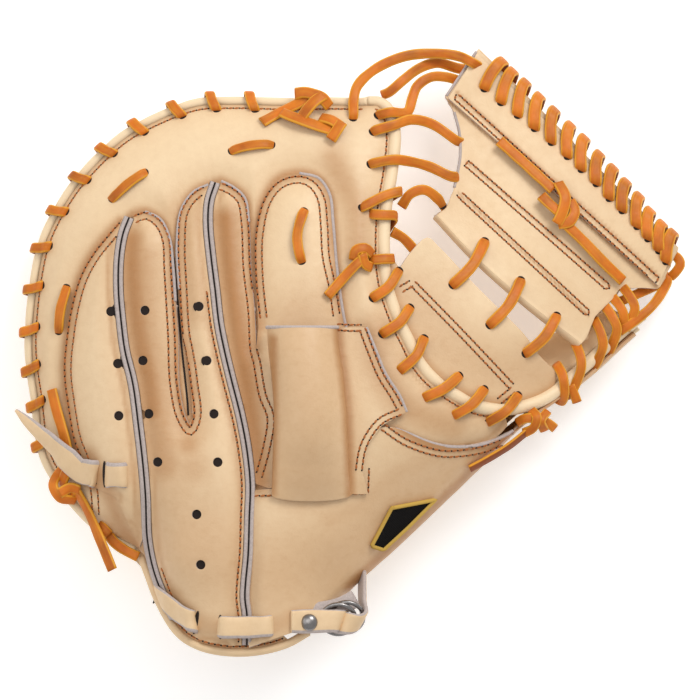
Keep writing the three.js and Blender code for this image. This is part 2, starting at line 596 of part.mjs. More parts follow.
// Laces over the crotch roll, from a hole in the hand side to a hole in the web base
const CROTCH_TURNS = table(['handX', 'handY', 'webX', 'webY'], [
  [10.5, 25.5, 25.5, 41], [15, 7.5, 31, 22.5], [24, -11, 38, 7.5], [36, -24, 56, -11.5],
  [51, -33, 68.5, -18], [68, -36.5, 85.5, -21],
]);
function crotchLacePoints() {
  const points = [];
  const sides = [];
  CROTCH_TURNS.forEach((turn) => {
    const hand = { x: turn.handX, y: turn.handY };
    const web = { x: turn.webX, y: turn.webY };
    const t = shareAt(crotchPath, (hand.x + web.x) / 2, (hand.y + web.y) / 2);
    const top = crotchPath.getPointAt(t);
    const low = top.clone().lerp(new THREE.Vector3(hand.x, hand.y, 0), 0.75);
    const high = top.clone().lerp(new THREE.Vector3(web.x, web.y, 0), 0.78);
    points.push(on(backHeight, hand.x, hand.y, -3.5));
    points.push(on(backHeight, low.x, low.y, LEATHER + 2.6));
    const slope = Math.abs(crotchPath.getTangentAt(t).z);
    points.push(top.clone().setZ(top.z + CROTCH_ROLL + GAP + LACE_THICK / 2 + 1.2 + 2.6 * slope));
    points.push(on(baseHeight, high.x, high.y, LEATHER + 2.8));
    points.push(on(baseHeight, web.x, web.y, -3));
    points.push(top.clone().add(new THREE.Vector3(3, -3, -CROTCH_ROLL - 4.4)));
    for (let i = 0; i < 6; i += 1) sides.push(crotchPath.getTangentAt(t));
  });
  points.pop();
  return { points, sides };
}
const crotchWhip = crotchLacePoints();
lace('crotch_lace', crotchWhip.points, { sides: crotchWhip.sides });

// Whip laces along the top edge of the web, each through the hole below it
const WEB_TURNS = table(['holeX', 'holeY', 'edgeX', 'edgeY'], [
  [67.5, 131, 76, 146.5], [76, 124, 81, 141.5], [84.5, 117.5, 87.5, 136], [93, 111, 94.5, 129],
  [101.5, 104, 102, 122], [109.5, 97, 110, 114.5], [116.5, 90.5, 117, 108], [124, 83.5, 124.5, 100],
  [130.5, 76, 131.5, 93], [137, 70, 138, 86], [144.5, 62, 144.5, 79], [150, 56, 150, 71.5],
  [155.5, 50, 156, 65], [159, 44.5, 161.5, 60.5],
]);
function webTopPoints() {
  const points = [];
  const sides = [];
  const along = new THREE.Vector3(0.71, -0.7, 0);
  WEB_TURNS.forEach((turn) => {
    const hole = { x: turn.holeX, y: turn.holeY };
    const edge = { x: turn.edgeX, y: turn.edgeY };
    const mix = (s) => ({ x: THREE.MathUtils.lerp(hole.x, edge.x, s), y: THREE.MathUtils.lerp(hole.y, edge.y, s) });
    const near = mix(0.2);
    const far = mix(0.85);
    points.push(on(webHeight, hole.x, hole.y, -6.2));
    points.push(on(webHeight, hole.x, hole.y, BAND_LIFT + LEATHER + 1.5));
    points.push(on(webHeight, near.x, near.y, BAND_LIFT + LEATHER + 2.3));
    points.push(on(webHeight, far.x, far.y, BAND_LIFT + LEATHER + 2));
    points.push(on(webHeight, edge.x, edge.y, 0.5));
    points.push(on(webHeight, far.x, far.y, -5.8));
    for (let i = 0; i < 6; i += 1) sides.push(along.clone());
  });
  return { points, sides };
}
const webTop = webTopPoints();
lace('web_top_lace', webTop.points, { sides: webTop.sides }, everyTurn(WEB_TURNS.length, 6, [0, 1]));

// Bridge laces between the web's lower roll and the base panel
const BRIDGE_TURNS = table(['webX', 'webY', 'baseX', 'baseY'], [
  [68.5, 57, 50, 32], [86.5, 37.5, 68.5, 12], [104.5, 19.5, 86.5, -2],
]);
function bridgePoints() {
  const points = [];
  BRIDGE_TURNS.forEach((turn) => {
    const mix = (s) => ({ x: THREE.MathUtils.lerp(turn.webX, turn.baseX, s), y: THREE.MathUtils.lerp(turn.webY, turn.baseY, s) });
    const a = mix(0.12);
    const b = mix(0.5);
    const c = mix(0.88);
    points.push(on(webHeight, turn.webX, turn.webY, -3));
    points.push(on(webHeight, a.x, a.y, LEATHER + 1.7));
    points.push(new THREE.Vector3(b.x, b.y, (webHeight(a.x, a.y) + baseHeight(c.x, c.y)) / 2 + LEATHER + 3.2));
    points.push(on(baseHeight, c.x, c.y, LEATHER + 1.7));
    points.push(on(baseHeight, turn.baseX, turn.baseY, -3));
    points.push(new THREE.Vector3(b.x + 9, b.y - 8, baseHeight(c.x, c.y) - 5.5));
  });
  points.pop();
  return points;
}
lace('web_bridge_lace', bridgePoints(), {});

// Web sheets. The web's leather is folded at its lower edge, with its two layers laced together at the top.
const WEB_OUTLINE = table(flat, [
  [64.5, 151.6], [114, 102.5], [165, 52], [155.5, 31.5], [146.5, 32], [135.5, 31.5], [131.5, 26], [123, 17.5],
  [118.5, 6.5], [112, 0], [93, 13], [76, 27], [58, 43.5], [40, 62], [42, 67], [48.5, 72], [52.5, 82], [55.5, 98],
  [55, 110], [52.5, 120], [48, 128],
]);
const WEB_FOLD = table(flat, [[34, 74], [42, 66], [60, 46.5], [78, 30], [95, 16], [112, 3], [126, -9]]);
const WEB_TOP_LINE = table(flat, [[46, 172], [62, 156], [82, 136.5], [102, 116.5], [124, 95], [148, 71], [182, 38]]);
const TOP_BAND = table(flat, [[64, 149.4], [114, 100.2], [163, 51.2], [155, 33], [102, 81], [49.5, 127]]);
const BASE_TOP = table(flat, [
  [103, -16], [104, -11], [95, -2], [87, 9], [73, 23], [62, 34], [45, 52], [39, 57], [31, 50], [25, 41.5],
]);
const corners = (rows) => rows.map((row) => new THREE.Vector2(row.x, row.y));

function webFold() {
  const outer = [];
  const inner = [];
  WEB_FOLD.forEach((fold, i) => {
    const top = WEB_TOP_LINE[i];
    const across = new THREE.Vector3(fold.x - top.x, fold.y - top.y, 0).normalize();
    const middle = on(webHeight, fold.x, fold.y, LEATHER - FOLD_RADIUS).addScaledVector(across, -FOLD_RADIUS);
    const line = (depth) => {
      const layer = (t, below) => {
        const x = THREE.MathUtils.lerp(top.x, middle.x, t);
        const y = THREE.MathUtils.lerp(top.y, middle.y, t);
        const gap = THREE.MathUtils.lerp(LEATHER * 2 + GAP, FOLD_RADIUS * 2, t * t);
        const height = webHeight(x, y) + LEATHER;
        return new THREE.Vector3(x, y, below ? height - gap + depth : height - depth);
      };
      const bend = [60, 10, -40].map((degrees) => {
        const turn = THREE.MathUtils.degToRad(degrees);
        const radius = FOLD_RADIUS - depth;
        return middle.clone().addScaledVector(across, radius * Math.cos(turn)).setZ(middle.z + radius * Math.sin(turn));
      });
      return [layer(0, false), layer(0.5, false), layer(1, false), ...bend, layer(1, true), layer(0.5, true), layer(0, true)];
    };
    outer.push(line(0));
    inner.push(line(LEATHER));
  });
  return gridSolid(outer, inner, 4).intersect(prism(corners(WEB_OUTLINE)));
}

function topBand() {
  const level = (lift) => WEB_FOLD.map((fold, i) => spread(0, 0.8, 3).map((t) => {
    const top = WEB_TOP_LINE[i];
    return on(webHeight, THREE.MathUtils.lerp(top.x, fold.x, t), THREE.MathUtils.lerp(top.y, fold.y, t), lift);
  }));
  return gridSolid(level(BAND_LIFT + LEATHER), level(BAND_LIFT)).intersect(prism(corners(TOP_BAND)));
}

const webBase = () => outlineOf(
  BASE_TOP.slice(0, 2), BASE_TOP.slice(2), beside(CROTCH_RIM.slice(7, 19), CROTCH_ROLL + 2 * GAP),
);

// Places on the crotch roll, turned about it from the hand side (0 degrees) over the top to the web side (180)
function roundRoll(x, y, degrees, clearance = 2.7) {
  const t = shareAt(crotchPath, x, y);
  const middle = crotchPath.getPointAt(t);
  const along = crotchPath.getTangentAt(t).setZ(0).normalize();
  const hand = new THREE.Vector3(along.y, -along.x, 0);
  const turn = THREE.MathUtils.degToRad(degrees);
  const radius = CROTCH_ROLL + clearance;
  return middle.addScaledVector(hand, radius * Math.cos(turn)).add(new THREE.Vector3(0, 0, radius * Math.sin(turn)));
}

const onBack = (x, y, lift) => on(backHeight, x, y, lift);
const onWeb = (x, y, lift) => on(webHeight, x, y, lift);
const onBase = (x, y, lift) => on(baseHeight, x, y, lift);
const at = (x, y, z) => new THREE.Vector3(x, y, z);
const ABOVE = LEATHER + GAP + LACE_THICK / 2 + 0.7;
const ABOVE_OVERLAY = OVERLAY_LIFT + ABOVE;
const BELOW = -3.8;

// The laces from the finger rim to the web's left edge
lace('finger_web_lace', [
  onBack(10, 108.5, BELOW), onBack(13, 110.5, ABOVE + 0.4), roundRoll(22, 113, 90), at(31, 116, 47), at(41, 114, 43),
  onWeb(53, 106, ABOVE + 0.8), onWeb(58.5, 102.6, -8.4), onWeb(58, 91, -8.6), onWeb(51.5, 87.5, ABOVE + 0.8), at(40, 92.5, 48), at(30, 95, 53), roundRoll(22, 96, 90), onBack(12, 94, ABOVE + 0.4),
  onBack(8, 92.5, BELOW),
], {});
lace('finger_side_lace', [
  onBack(5, 70.5, BELOW), onBack(7.5, 72.5, ABOVE + 0.3), roundRoll(18, 78, 80), roundRoll(18.5, 81, 150, 3.9),
  roundRoll(18, 79, 230, 2.2), onBack(11, 72, -6), onBack(11.5, 68.6, ABOVE),
  roundRoll(18, 68, 90), roundRoll(18, 68, 165), roundRoll(18, 62, 245, 2.2), onBack(10.5, 50, -6),
  onBack(11.5, 46, ABOVE), roundRoll(17, 46, 90), roundRoll(17, 46, 150),
], { sides: [new THREE.Vector3(0, 1, -0.22)] });
lace('web_fold_lace', [
  at(26, 72.4, 55), at(30.4, 78.6, 58), at(37, 80.8, 57), at(44, 76.5, 52), onWeb(49, 69, -2.8),
  onWeb(56, 60.5, -3), onWeb(62, 54, -3),
], { thick: 1.6 });
lace('web_base_tie', [
  roundRoll(17.5, 60, 200, 1.5), at(27, 56.5, 58), at(33, 50, 56), at(39, 43, 53.5),
], {});

// The long loops from the finger tips to the web's corner
lace('web_corner_lace', [
  onBack(1, 114, BELOW), onBack(2, 118, ABOVE), at(2, 125.5, 45.5), at(4, 133, 43), at(13, 141.5, 40.5), at(28, 148, 37.5),
  at(44, 149.4, 34), at(55, 148, 31.6), onWeb(62, 144.6, BAND_LIFT + ABOVE + 0.4), onWeb(65.5, 142, -5),
  at(56, 142, 22.5), at(44, 144.8, 28), at(35, 142, 34), at(27, 136, 40), at(20, 130, 41.5), at(16.5, 128.6, 38),
], {});
lace('web_corner_tie', [
  onBack(13.5, 117.5, BELOW), onBack(15, 118.4, ABOVE), roundRoll(20, 119.5, 90, 3.5), at(29, 120, 44), at(31.5, 127, 40),
  at(34, 133, 37), at(41, 137.6, 33), at(49, 137.6, 29.5), onWeb(57.5, 135, -5.2),
], {});

// The laces from the web's right end over the upper thumb, down its side and back inside
const THUMB_TURNS = table(['webX', 'webY', 'midX', 'midY', 'sideX', 'sideY', 'rollZ'], [
  [108, 2, 110.6, -6.5, 113.5, -14.2, 39], [119.5, 14, 124, 7.5, 127, -4, 33], [128, 25, 134, 17, 137, 4.6, 30.5],
]);
function thumbLacePoints() {
  const points = [];
  THUMB_TURNS.forEach((turn) => {
    const outX = turn.sideX + 3;
    const outY = turn.sideY - 3;
    points.push(at(turn.webX, turn.webY, turn.rollZ - 3));
    points.push(at((turn.webX + turn.midX) / 2, (turn.webY + turn.midY) / 2, turn.rollZ + 5.5));
    points.push(at(turn.midX, turn.midY, turn.rollZ + 7));
    points.push(at((turn.midX + outX) / 2 + 1.2, (turn.midY + outY) / 2 - 1.2, turn.rollZ + 5.4));
    points.push(at(outX, outY, turn.rollZ - 2));
    points.push(at(outX - 0.4, outY + 0.4, turn.rollZ - 7));
    points.push(at(turn.sideX - 3.5, turn.sideY + 3.5, turn.rollZ - 9.5));
    points.push(at(turn.webX + 3, turn.webY + 2, turn.rollZ - 9));
  });
  return points.slice(0, -1);
}
lace('thumb_web_lace', thumbLacePoints(), { width: 4.8 });
lace('web_tip_lace', [
  onWeb(157, 38.6, -5.6), at(160.8, 40.5, 17.4), at(165.2, 41, 21), at(164.6, 38, 25.5), at(158, 30.5, 30.5), at(151, 22, 34),
  at(148.6, 14.5, 34.5), at(151.4, 11.6, 29), at(150.8, 12.6, 23.5),
], { width: 4.8 });

// Knots: crossed loops with tails that lie just above the leather
function knot(name, surface, strips) {
  laces[name] = { solid: join(strips.map((strip) => thong(strip, { height: surface }))), tools: [] };
}
const KNOT = ABOVE + 0.3;
knot('top_knot', backHeight, [
  [onBack(-43.5, 115.5, KNOT), onBack(-33, 119.5, KNOT), onBack(-22, 123, KNOT + 3), at(-17, 127, 49)],
  [onBack(-34, 119.5, KNOT + 4), onBack(-24, 114.5, KNOT + 4), onBack(-13, 110.5, KNOT + 1.5), onBack(-9, 108.6, KNOT)],
  [onBack(-9.5, 113, KNOT + 4), onBack(-9.5, 108, KNOT + 1.6), onBack(-13, 106.5, KNOT + 0.6)],
  [at(-25, 122.5, 48), at(-19, 127.5, 50.4), at(-10.5, 127, 49), at(-11, 118, 50.8), at(-19, 111, 53.6)],
]);
knot('index_knot', backHeight, [
  [onBack(2, 47, KNOT), onBack(3.5, 50, KNOT + 1), onBack(7, 50, KNOT + 1.4), onBack(8, 45, KNOT + 1), onBack(7, 41, KNOT)],
  [onBack(8, 47.5, KNOT + 2.4), onBack(3, 43, KNOT + 2.2), onBack(-4, 35.5, KNOT + 2.8), onBack(-11, 27.5, KNOT + 2.6)],
]);
knot('web_knot', webHeight, [
  [onWeb(76, 107, BAND_LIFT + KNOT), onWeb(89, 93, BAND_LIFT + KNOT), onWeb(102, 79.5, BAND_LIFT + KNOT + 0.8)],
  [onWeb(101, 81, BAND_LIFT + KNOT + 1.8), onWeb(104, 77, BAND_LIFT + KNOT + 4), onWeb(107, 70, BAND_LIFT + KNOT + 3.6), onWeb(103.5, 66, BAND_LIFT + KNOT + 2)],
  [onWeb(97.5, 76, BAND_LIFT + KNOT - 2), onWeb(104, 69, BAND_LIFT + KNOT + 1), onWeb(112, 59.5, BAND_LIFT + KNOT + 1), onWeb(124, 46.5, BAND_LIFT + KNOT), onWeb(137.5, 36, BAND_LIFT + KNOT - 1.4)],
]);
knot('wrist_knot', backHeight, [
  [onBack(-147, -17.5, KNOT), onBack(-145, -30, KNOT), onBack(-143.4, -40, KNOT + 9), onBack(-140, -52, KNOT + 10.5), onBack(-139, -62, KNOT + 8), onBack(-138.5, -69, KNOT + 2)],
  [onBack(-146, -64, KNOT + 5), onBack(-140, -68, KNOT + 3.4), onBack(-134, -69.5, KNOT + 1)],
  [onBack(-141, -65, KNOT + 3.4), onBack(-136, -73, KNOT + 0.4), at(-127, -91.5, 56), at(-118.4, -109, 60)],
]);
knot('thumb_knot', null, [
  [at(89, -38.5, 52), at(89, -31.5, 55.5), at(94.5, -29, 55), at(99.5, -33, 52), at(98, -38.5, 48)],
  [at(100, -36, 48.5), at(93, -38.2, 51.5), at(80, -47, 52), at(62, -57, 53.4)],
]);

// Short ties through the finger back
const TIES = [
  ['finger_tie_ring', 0, [[-62, 98.2], [-57, 101], [-49, 103], [-41, 103.5], [-35, 102]]],
  ['finger_tie_little', 0, [[-122, 73], [-117, 78], [-110.5, 84], [-104, 88.5], [-99, 91]]],
  ['finger_tie_side', 0, [[-141, 35], [-142, 30], [-144.5, 21], [-145.4, 12], [-145.4, 7]]],
  ['finger_tie_index', OVERLAY_LIFT, [[-20.5, 73], [-23.5, 68], [-26, 57.5], [-24.5, 47], [-22, 41.5]]],
];
TIES.forEach(([name, lift, route]) => {
  const lifts = [-3.2, ABOVE, ABOVE + 1.2, ABOVE, -3.2];
  lace(name, route.map(([x, y], i) => onBack(x, y, lifts[i] + lift)), { height: backHeight }, [0, 3]);
});

// The woven wrist strap and the pull strap
const STRAP_ABOVE = OVERLAY_LIFT + LEATHER + 1.9 + STRAP_THICK / 2;
const STRAP_BELOW = -STRAP_THICK / 2 - 1.5;
const strapLook = { width: STRAP_WIDTH, thick: STRAP_THICK };
const bandSides = [[0.3, -0.95], [0.3, -0.95], [0.26, -0.96], [0.2, -0.98], [0.1, -0.99], [0, -1]]
  .map(([x, y]) => new THREE.Vector3(x, y, 0));
lace('wrist_strap', [
  onBack(-95.5, -121.5, -2.4), onBack(-93, -123.6, STRAP_ABOVE), onBack(-85.5, -130, STRAP_ABOVE),
  onBack(-78.5, -134, STRAP_ABOVE), onBack(-74.5, -135.4, STRAP_BELOW), onBack(-67, -136.6, STRAP_BELOW),
  onBack(-62, -137, STRAP_ABOVE), onBack(-51, -137, STRAP_ABOVE + 0.6), onBack(-41, -136.4, STRAP_ABOVE),
  onBack(-36, -135.5, STRAP_BELOW), onBack(-31, -134.5, STRAP_BELOW),
], { ...strapLook, width: 11, sides: bandSides });
lace('pull_strap', [
  onBack(-104, -60, STRAP_BELOW), onBack(-110, -60.5, STRAP_BELOW), onBack(-113.5, -61, STRAP_ABOVE),
  onBack(-119.5, -60.5, STRAP_ABOVE), onBack(-122, -60, STRAP_BELOW), onBack(-126, -59, STRAP_BELOW),
  onBack(-128.5, -58, STRAP_ABOVE), onBack(-134, -55, STRAP_ABOVE + 0.6), onBack(-141, -49.6, STRAP_ABOVE + 1),
  at(-150, -42.5, 50), at(-158, -36, 46.5), at(-168.2, -27.8, 43),
], { ...strapLook, width: 13, height: backHeight });
const TIP_TRIM = table(flat, [
  [-167.2, -29.4], [-158, -47.5], [-140, -66], [-90, -90], [-90, -20], [-132, -38], [-154, -29],
]);

// Ring tab, rings and thumb strap at the wrist's thumb side
const acrossY = [new THREE.Vector3(0, 1, 0)];
const RINGS = table(['x', 'y', 'z'], [[-6, -134.4, 81], [-2.6, -133.4, 78.2]]);
lace('ring_tab', [
  onBack(-29, -134, STRAP_ABOVE + 0.4), onBack(-22, -134, STRAP_ABOVE + 0.4), at(-14, -134, 84.8), at(-7.4, -134, 84.2),
  at(-4.7, -134, 79.6), at(-7, -134, 75.6), at(-10, -134, 75),
], { ...strapLook, width: 11.4, sides: acrossY });
const strapTurn = [...Array.from({ length: 5 }, () => [0, 1, 0]), [-0.2, 0.9, 0.3], [-0.6, 0.5, 0.6], [-0.7, 0.1, 0.7]]
  .map(([x, y, z]) => new THREE.Vector3(x, y, z));
lace('thumb_strap', [
  at(3, -135, 75), at(-0.6, -135, 75.6), at(-2.4, -135, 79.6), at(-0.4, -135, 84), at(5.4, -135, 83.6),
  at(8.6, -133.6, 79), at(9.6, -128.5, 71), at(9.6, -121, 63.5),
], { ...strapLook, width: 9.2, sides: strapTurn });

// The plain patch on the thumb side of the wrist
const PATCH_OUTLINE = table(flat, [[21, -78], [43, -74], [29, -88], [17, -99], [11, -97]]);

// Welts with two bare suede edges along the seams
function welt(seam) {
  const outer = outlineOf(beside(seam, WELT_HALF), beside(seam, -WELT_HALF).reverse());
  return panel(outer, backHeight, OVERLAY_LIFT, LEATHER + 0.9);
}

// Cooling holes through the back
const VENTS = table(flat, [
  [-119, 20], [-102, 20.5], [-75, 22.5], [-115.5, -6], [-103, -4.5], [-71, -4.5], [-115, -32], [-100, -31],
  [-67.5, -31], [-95.5, -55], [-65.5, -55], [-76, -81], [-74, -106],
]);
const ventTools = VENTS.map((vent) => solidOf(
  new THREE.CylinderGeometry(VENT_RADIUS, VENT_RADIUS, SKY, 5).rotateX(Math.PI / 2).translate(vent.x, vent.y, SKY / 2 + 30),
));

// Meshes
const mitt = new THREE.Group();
function add(name, solid, look) {
  const mesh = new THREE.Mesh(geometryOf(solid), new THREE.MeshStandardMaterial(look));
  mesh.name = name;
  mitt.add(mesh);
}

const laceTools = Object.values(laces).flatMap((entry) => entry.tools);
const overlay = (outline) => cut(panel(outline, backHeight, OVERLAY_LIFT), laceTools, ventTools);

const { palm, hand } = palmGrids();
const thumb = thumbGrids();
const thumbSolid = gridSolid(thumb.outer, thumb.inner);
add('palm_shell', cut(gridSolid(hand, palm), laceTools), TAN);
add('back_shell', cut(panel(backOutline(), backHeight, 0), laceTools, thumbSolid.translate(0, 0, -GAP)), TAN);
add('little_finger_panel', overlay(little()), TAN);
add('ring_middle_panel', overlay(ringMiddle()), TAN);
add('index_panel', overlay(index()), TAN);
add('seam_welt_little', cut(welt(SEAM_LITTLE.slice(0, 12)), laceTools), SUEDE);
add('seam_welt_middle', cut(welt(SEAM_MIDDLE), laceTools), SUEDE);
add('crotch_lining', cut(panel(lining(), backHeight, 0), laceTools), TAN);
add('thumb_panel', cut(thumbSolid, laceTools), TAN);
const hood = hoodGrids();
add('index_hood', gridSolid(hood.upper, hood.lower), TAN);
add('finger_rim_roll', roll(vectors(FINGER_RIM), RIM_ROLL, 40), CREAM);
add('crotch_rim_roll', roll(vectors(CROTCH_RIM), CROTCH_ROLL, 38), CREAM);
add('heel_binding', cut(roll(vectors(HEEL_EDGE), BINDING_ROLL, 16), laces.wrist_strap.tools), TAN);
add('thumb_rim_roll', roll(vectors(THUMB_RIM), RIM_ROLL, 14), CREAM);
add('web_panel', cut(webFold(), laceTools), TAN);
add('web_top_band', cut(topBand(), laceTools), TAN);
add('web_base_panel', cut(panel(webBase(), baseHeight, 0), laceTools), TAN);
laces.pull_strap.solid = laces.pull_strap.solid.intersect(prism(corners(TIP_TRIM)));
const STRAPS = ['wrist_strap', 'pull_strap', 'ring_tab', 'thumb_strap'];
Object.entries(laces).forEach(([name, entry]) => add(name, entry.solid, STRAPS.includes(name) ? TAN : LACE));

// Strap rings, snap, keeper and patch
RINGS.forEach((place_, i) => add(
  ['strap_ring_inner', 'strap_ring_outer'][i],
  solidOf(new THREE.TorusGeometry(RING_RADIUS, RING_WIRE, 5, 14).translate(place_.x, place_.y, place_.z)),
  STEEL,
));
const snap = new THREE.LatheGeometry([[0, 0], [SNAP_RADIUS, 0], [SNAP_RADIUS, 0.7], [SNAP_RADIUS * 0.6, 1.5], [0, 1.7]]
  .map(([x, y]) => new THREE.Vector2(x, y)), 12).rotateX(Math.PI / 2).translate(-20, -134.6, 85.95);
add('snap_cap', solidOf(snap), STEEL);
add('label_patch', panel(corners(PATCH_OUTLINE), backHeight, THUMB_LIFT + LEATHER + 1, 1.4), PATCH);

export default mitt;
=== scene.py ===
"""Catcher mitt for the left hand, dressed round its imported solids.

Lengths in the tables are millimetres, in the frame of the solids: X from the little finger to the web,
Y from the wrist to the fingertips and Z up, out of the back of the hand.
"""

import math
import random

import bmesh
import bpy
import numpy as np
from mathutils import Matrix, Vector


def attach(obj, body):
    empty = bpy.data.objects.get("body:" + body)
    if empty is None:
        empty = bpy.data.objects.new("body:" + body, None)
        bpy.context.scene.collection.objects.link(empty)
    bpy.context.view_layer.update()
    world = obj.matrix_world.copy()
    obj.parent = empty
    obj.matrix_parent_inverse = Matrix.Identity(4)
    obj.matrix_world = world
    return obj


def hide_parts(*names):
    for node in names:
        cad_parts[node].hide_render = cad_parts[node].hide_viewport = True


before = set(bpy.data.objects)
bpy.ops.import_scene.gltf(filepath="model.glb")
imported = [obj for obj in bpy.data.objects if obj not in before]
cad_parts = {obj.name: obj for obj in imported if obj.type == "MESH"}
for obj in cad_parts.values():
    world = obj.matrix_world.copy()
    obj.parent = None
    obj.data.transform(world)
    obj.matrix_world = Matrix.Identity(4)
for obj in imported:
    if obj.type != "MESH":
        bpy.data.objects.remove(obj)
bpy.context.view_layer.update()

bl_info = {
    "name": "Catcher mitt",
    "version": (1, 0, 0),
    "blender": (4, 5, 0),
    "location": "View3D > Sidebar > Mitt",
    "description": "Leather, laces, stitches and fittings of a catcher mitt",
    "category": "Object",
}

MM = 0.001
GAP = 0.3
RIM_ROLL = 2.3
CROTCH_ROLL = 3.1
BINDING_ROLL = 2.1
WELT_HALF = 2.4
FOLD_RADIUS = 4.2


def tone(red, green, blue):
    """A screen colour, 0 to 255, as the linear colour that a shader takes."""
    def linear(value):
        share = value / 255
        return share / 12.92 if value < 10.3 else ((share + 0.055) / 1.055) ** 2.4

    return tuple(linear(value) for value in (red, green, blue))


class MittSizes(bpy.types.PropertyGroup):
    lace_width: bpy.props.FloatProperty(
        name="Lace width", description="Width of the leather laces", default=0.0052, unit="LENGTH")
    lace_thick: bpy.props.FloatProperty(
        name="Lace thickness", description="Thickness of the leather laces", default=0.0018, unit="LENGTH")
    puff: bpy.props.FloatProperty(
        name="Puff", description="How far the padding lifts the back between its seams",
        default=0.0036, unit="LENGTH")
    stitch_pitch: bpy.props.FloatProperty(
        name="Stitch pitch", description="Distance from one stitch to the next",
        default=0.0031, unit="LENGTH")
    stitch_length: bpy.props.FloatProperty(
        name="Stitch length", description="Length of thread that shows in one stitch",
        default=0.0025, unit="LENGTH")
    sheet_pitch: bpy.props.FloatProperty(
        name="Sheet pitch", description="Distance between the vertices of a leather sheet",
        default=0.0017, unit="LENGTH")


class MittColours(bpy.types.PropertyGroup):
    tan: bpy.props.FloatVectorProperty(
        name="Tan leather", description="Main leather", subtype="COLOR", default=tone(230, 199, 157))
    # Darker tan: the leather's random darker tone, and also the colour of its painted shade in valleys and
    # creases
    tan_deep_and_shade: bpy.props.FloatVectorProperty(
        name="Tan valleys", description="Leather in its valleys", subtype="COLOR", default=tone(168, 109, 50))
    # Rolled edges; also the pale of the painted highlight on the tan leather's crowns
    cream: bpy.props.FloatVectorProperty(
        name="Cream leather", description="Rolled edges", subtype="COLOR", default=tone(236, 211, 173))
    suede: bpy.props.FloatVectorProperty(
        name="Suede", description="Bare cut edges of the leather", subtype="COLOR",
        default=tone(196, 182, 176))
    lace: bpy.props.FloatVectorProperty(
        name="Lace", description="Grain side of the laces", subtype="COLOR", default=tone(214, 114, 29))
    lace_edge: bpy.props.FloatVectorProperty(
        name="Lace edge", description="Cut edges of the laces", subtype="COLOR", default=tone(222, 158, 46))
    lace_deep: bpy.props.FloatVectorProperty(
        name="Lace flesh side", description="Under side of the laces", subtype="COLOR",
        default=tone(116, 52, 20))
    thread: bpy.props.FloatVectorProperty(
        name="Thread", description="Stitching thread", subtype="COLOR", default=tone(186, 106, 44))
    metal: bpy.props.FloatVectorProperty(
        name="Nickel", description="Rings and snap", subtype="COLOR", default=tone(150, 146, 144))
    patch: bpy.props.FloatVectorProperty(
        name="Patch ground", description="Woven ground of the patch", subtype="COLOR", default=tone(9, 8, 8))
    patch_border: bpy.props.FloatVectorProperty(
        name="Patch border", description="Satin border of the patch", subtype="COLOR",
        default=tone(196, 160, 78))


class MittStage(bpy.types.PropertyGroup):
    field: bpy.props.FloatProperty(
        name="Field", description="Width that the camera sees", default=0.35, unit="LENGTH")
    distance: bpy.props.FloatProperty(
        name="Distance", description="From the camera to the mitt", default=6.0, unit="LENGTH")
    floor: bpy.props.FloatVectorProperty(
        name="Floor", description="Colour of the floor", subtype="COLOR", default=(0.96, 0.96, 0.96))
    glow: bpy.props.FloatProperty(
        name="Glow", description="Light of the floor itself, which keeps its shadows pale", default=0.32)


FINGER_RIM = [
    [7, 124.8, 40.5], [-10, 125, 39], [-33, 124.8, 37.5], [-58, 125.4, 36], [-77, 124.4, 35],
    [-100, 115.6, 34.5], [-113.5, 108, 34], [-126, 97, 34], [-138, 83.5, 34], [-147.8, 68, 34],
    [-154, 54, 34], [-158.6, 31, 34], [-160.6, 1, 34], [-157.6, -24, 35], [-153.6, -51, 37],
    [-146, -65.6, 39], [-131.6, -83, 43], [-120, -92, 46], [-107, -99.4, 49.5],
]
CROTCH_RIM = [
    [9.5, 125.4, 41.5], [15, 124.9, 43], [19.6, 121, 44.5], [22.5, 110, 48], [21, 90, 54],
    [18.6, 76, 58.5], [17.3, 64, 62], [17, 50, 65], [17.5, 40, 66.5], [19.6, 29, 68], [25, 14, 69.5],
    [29.5, 5, 70], [35, -6, 69.5], [42, -14, 68.5], [54, -22.6, 65.5], [65, -27.6, 61], [78, -29, 55],
    [92, -26, 48], [101, -21.5, 43], [110, -14, 39], [120, -5.5, 35], [135, 8.6, 31], [147, 18.6, 29],
]
HEEL_EDGE = [
    [-104, -102.6, 51], [-100.5, -111.5, 55], [-96, -123, 61], [-88, -137, 69], [-82, -143, 73],
    [-73.5, -147.2, 76.5], [-63, -149.4, 79], [-51, -149.7, 80.5], [-39.5, -148, 81], [-30, -145, 80],
    [-20.5, -139.6, 77.5],
]
THUMB_RIM = [
    [0, -117, 31.1], [14, -104, 26.9], [27, -92.5, 21.8], [43, -77, 18.3], [58, -63, 16.3],
    [72, -49.5, 15.4], [84, -37, 15.1], [97, -27, 15.2], [109, -17.5, 15.2], [122, -6.5, 15.2],
    [134, 4, 16.2], [144.5, 12.5, 18.2],
]
BACK_HEIGHTS = [
    [-141, 40, 46], [-144, 0, 47], [-138, -40, 51], [-122, -70, 57], [-122, 60, 52], [-118, 15, 59],
    [-115, -30, 64], [-102, -70, 69], [-92, -105, 68], [-100, 90, 47], [-85, 60, 58], [-75, 20, 66],
    [-73, -30, 73], [-72, -80, 78], [-70, -120, 78], [-60, 95, 51], [-45, 60, 62], [-35, 20, 72],
    [-32, -30, 79], [-32, -80, 83], [-38, -125, 81], [-20, 100, 52], [-5, 70, 62], [-5, 40, 69],
    [-5, 0, 74], [0, -35, 78], [5, -65, 74], [-5, -95, 73], [25, -40, 72], [35, -62, 60], [20, -80, 61],
    [55, -48, 55], [72, -44, 47], [8, -110, 57], [27, -93, 50], [51, -70.5, 43], [66, -57, 40],
    [82, -40, 41], [-8, -126, 66],
]
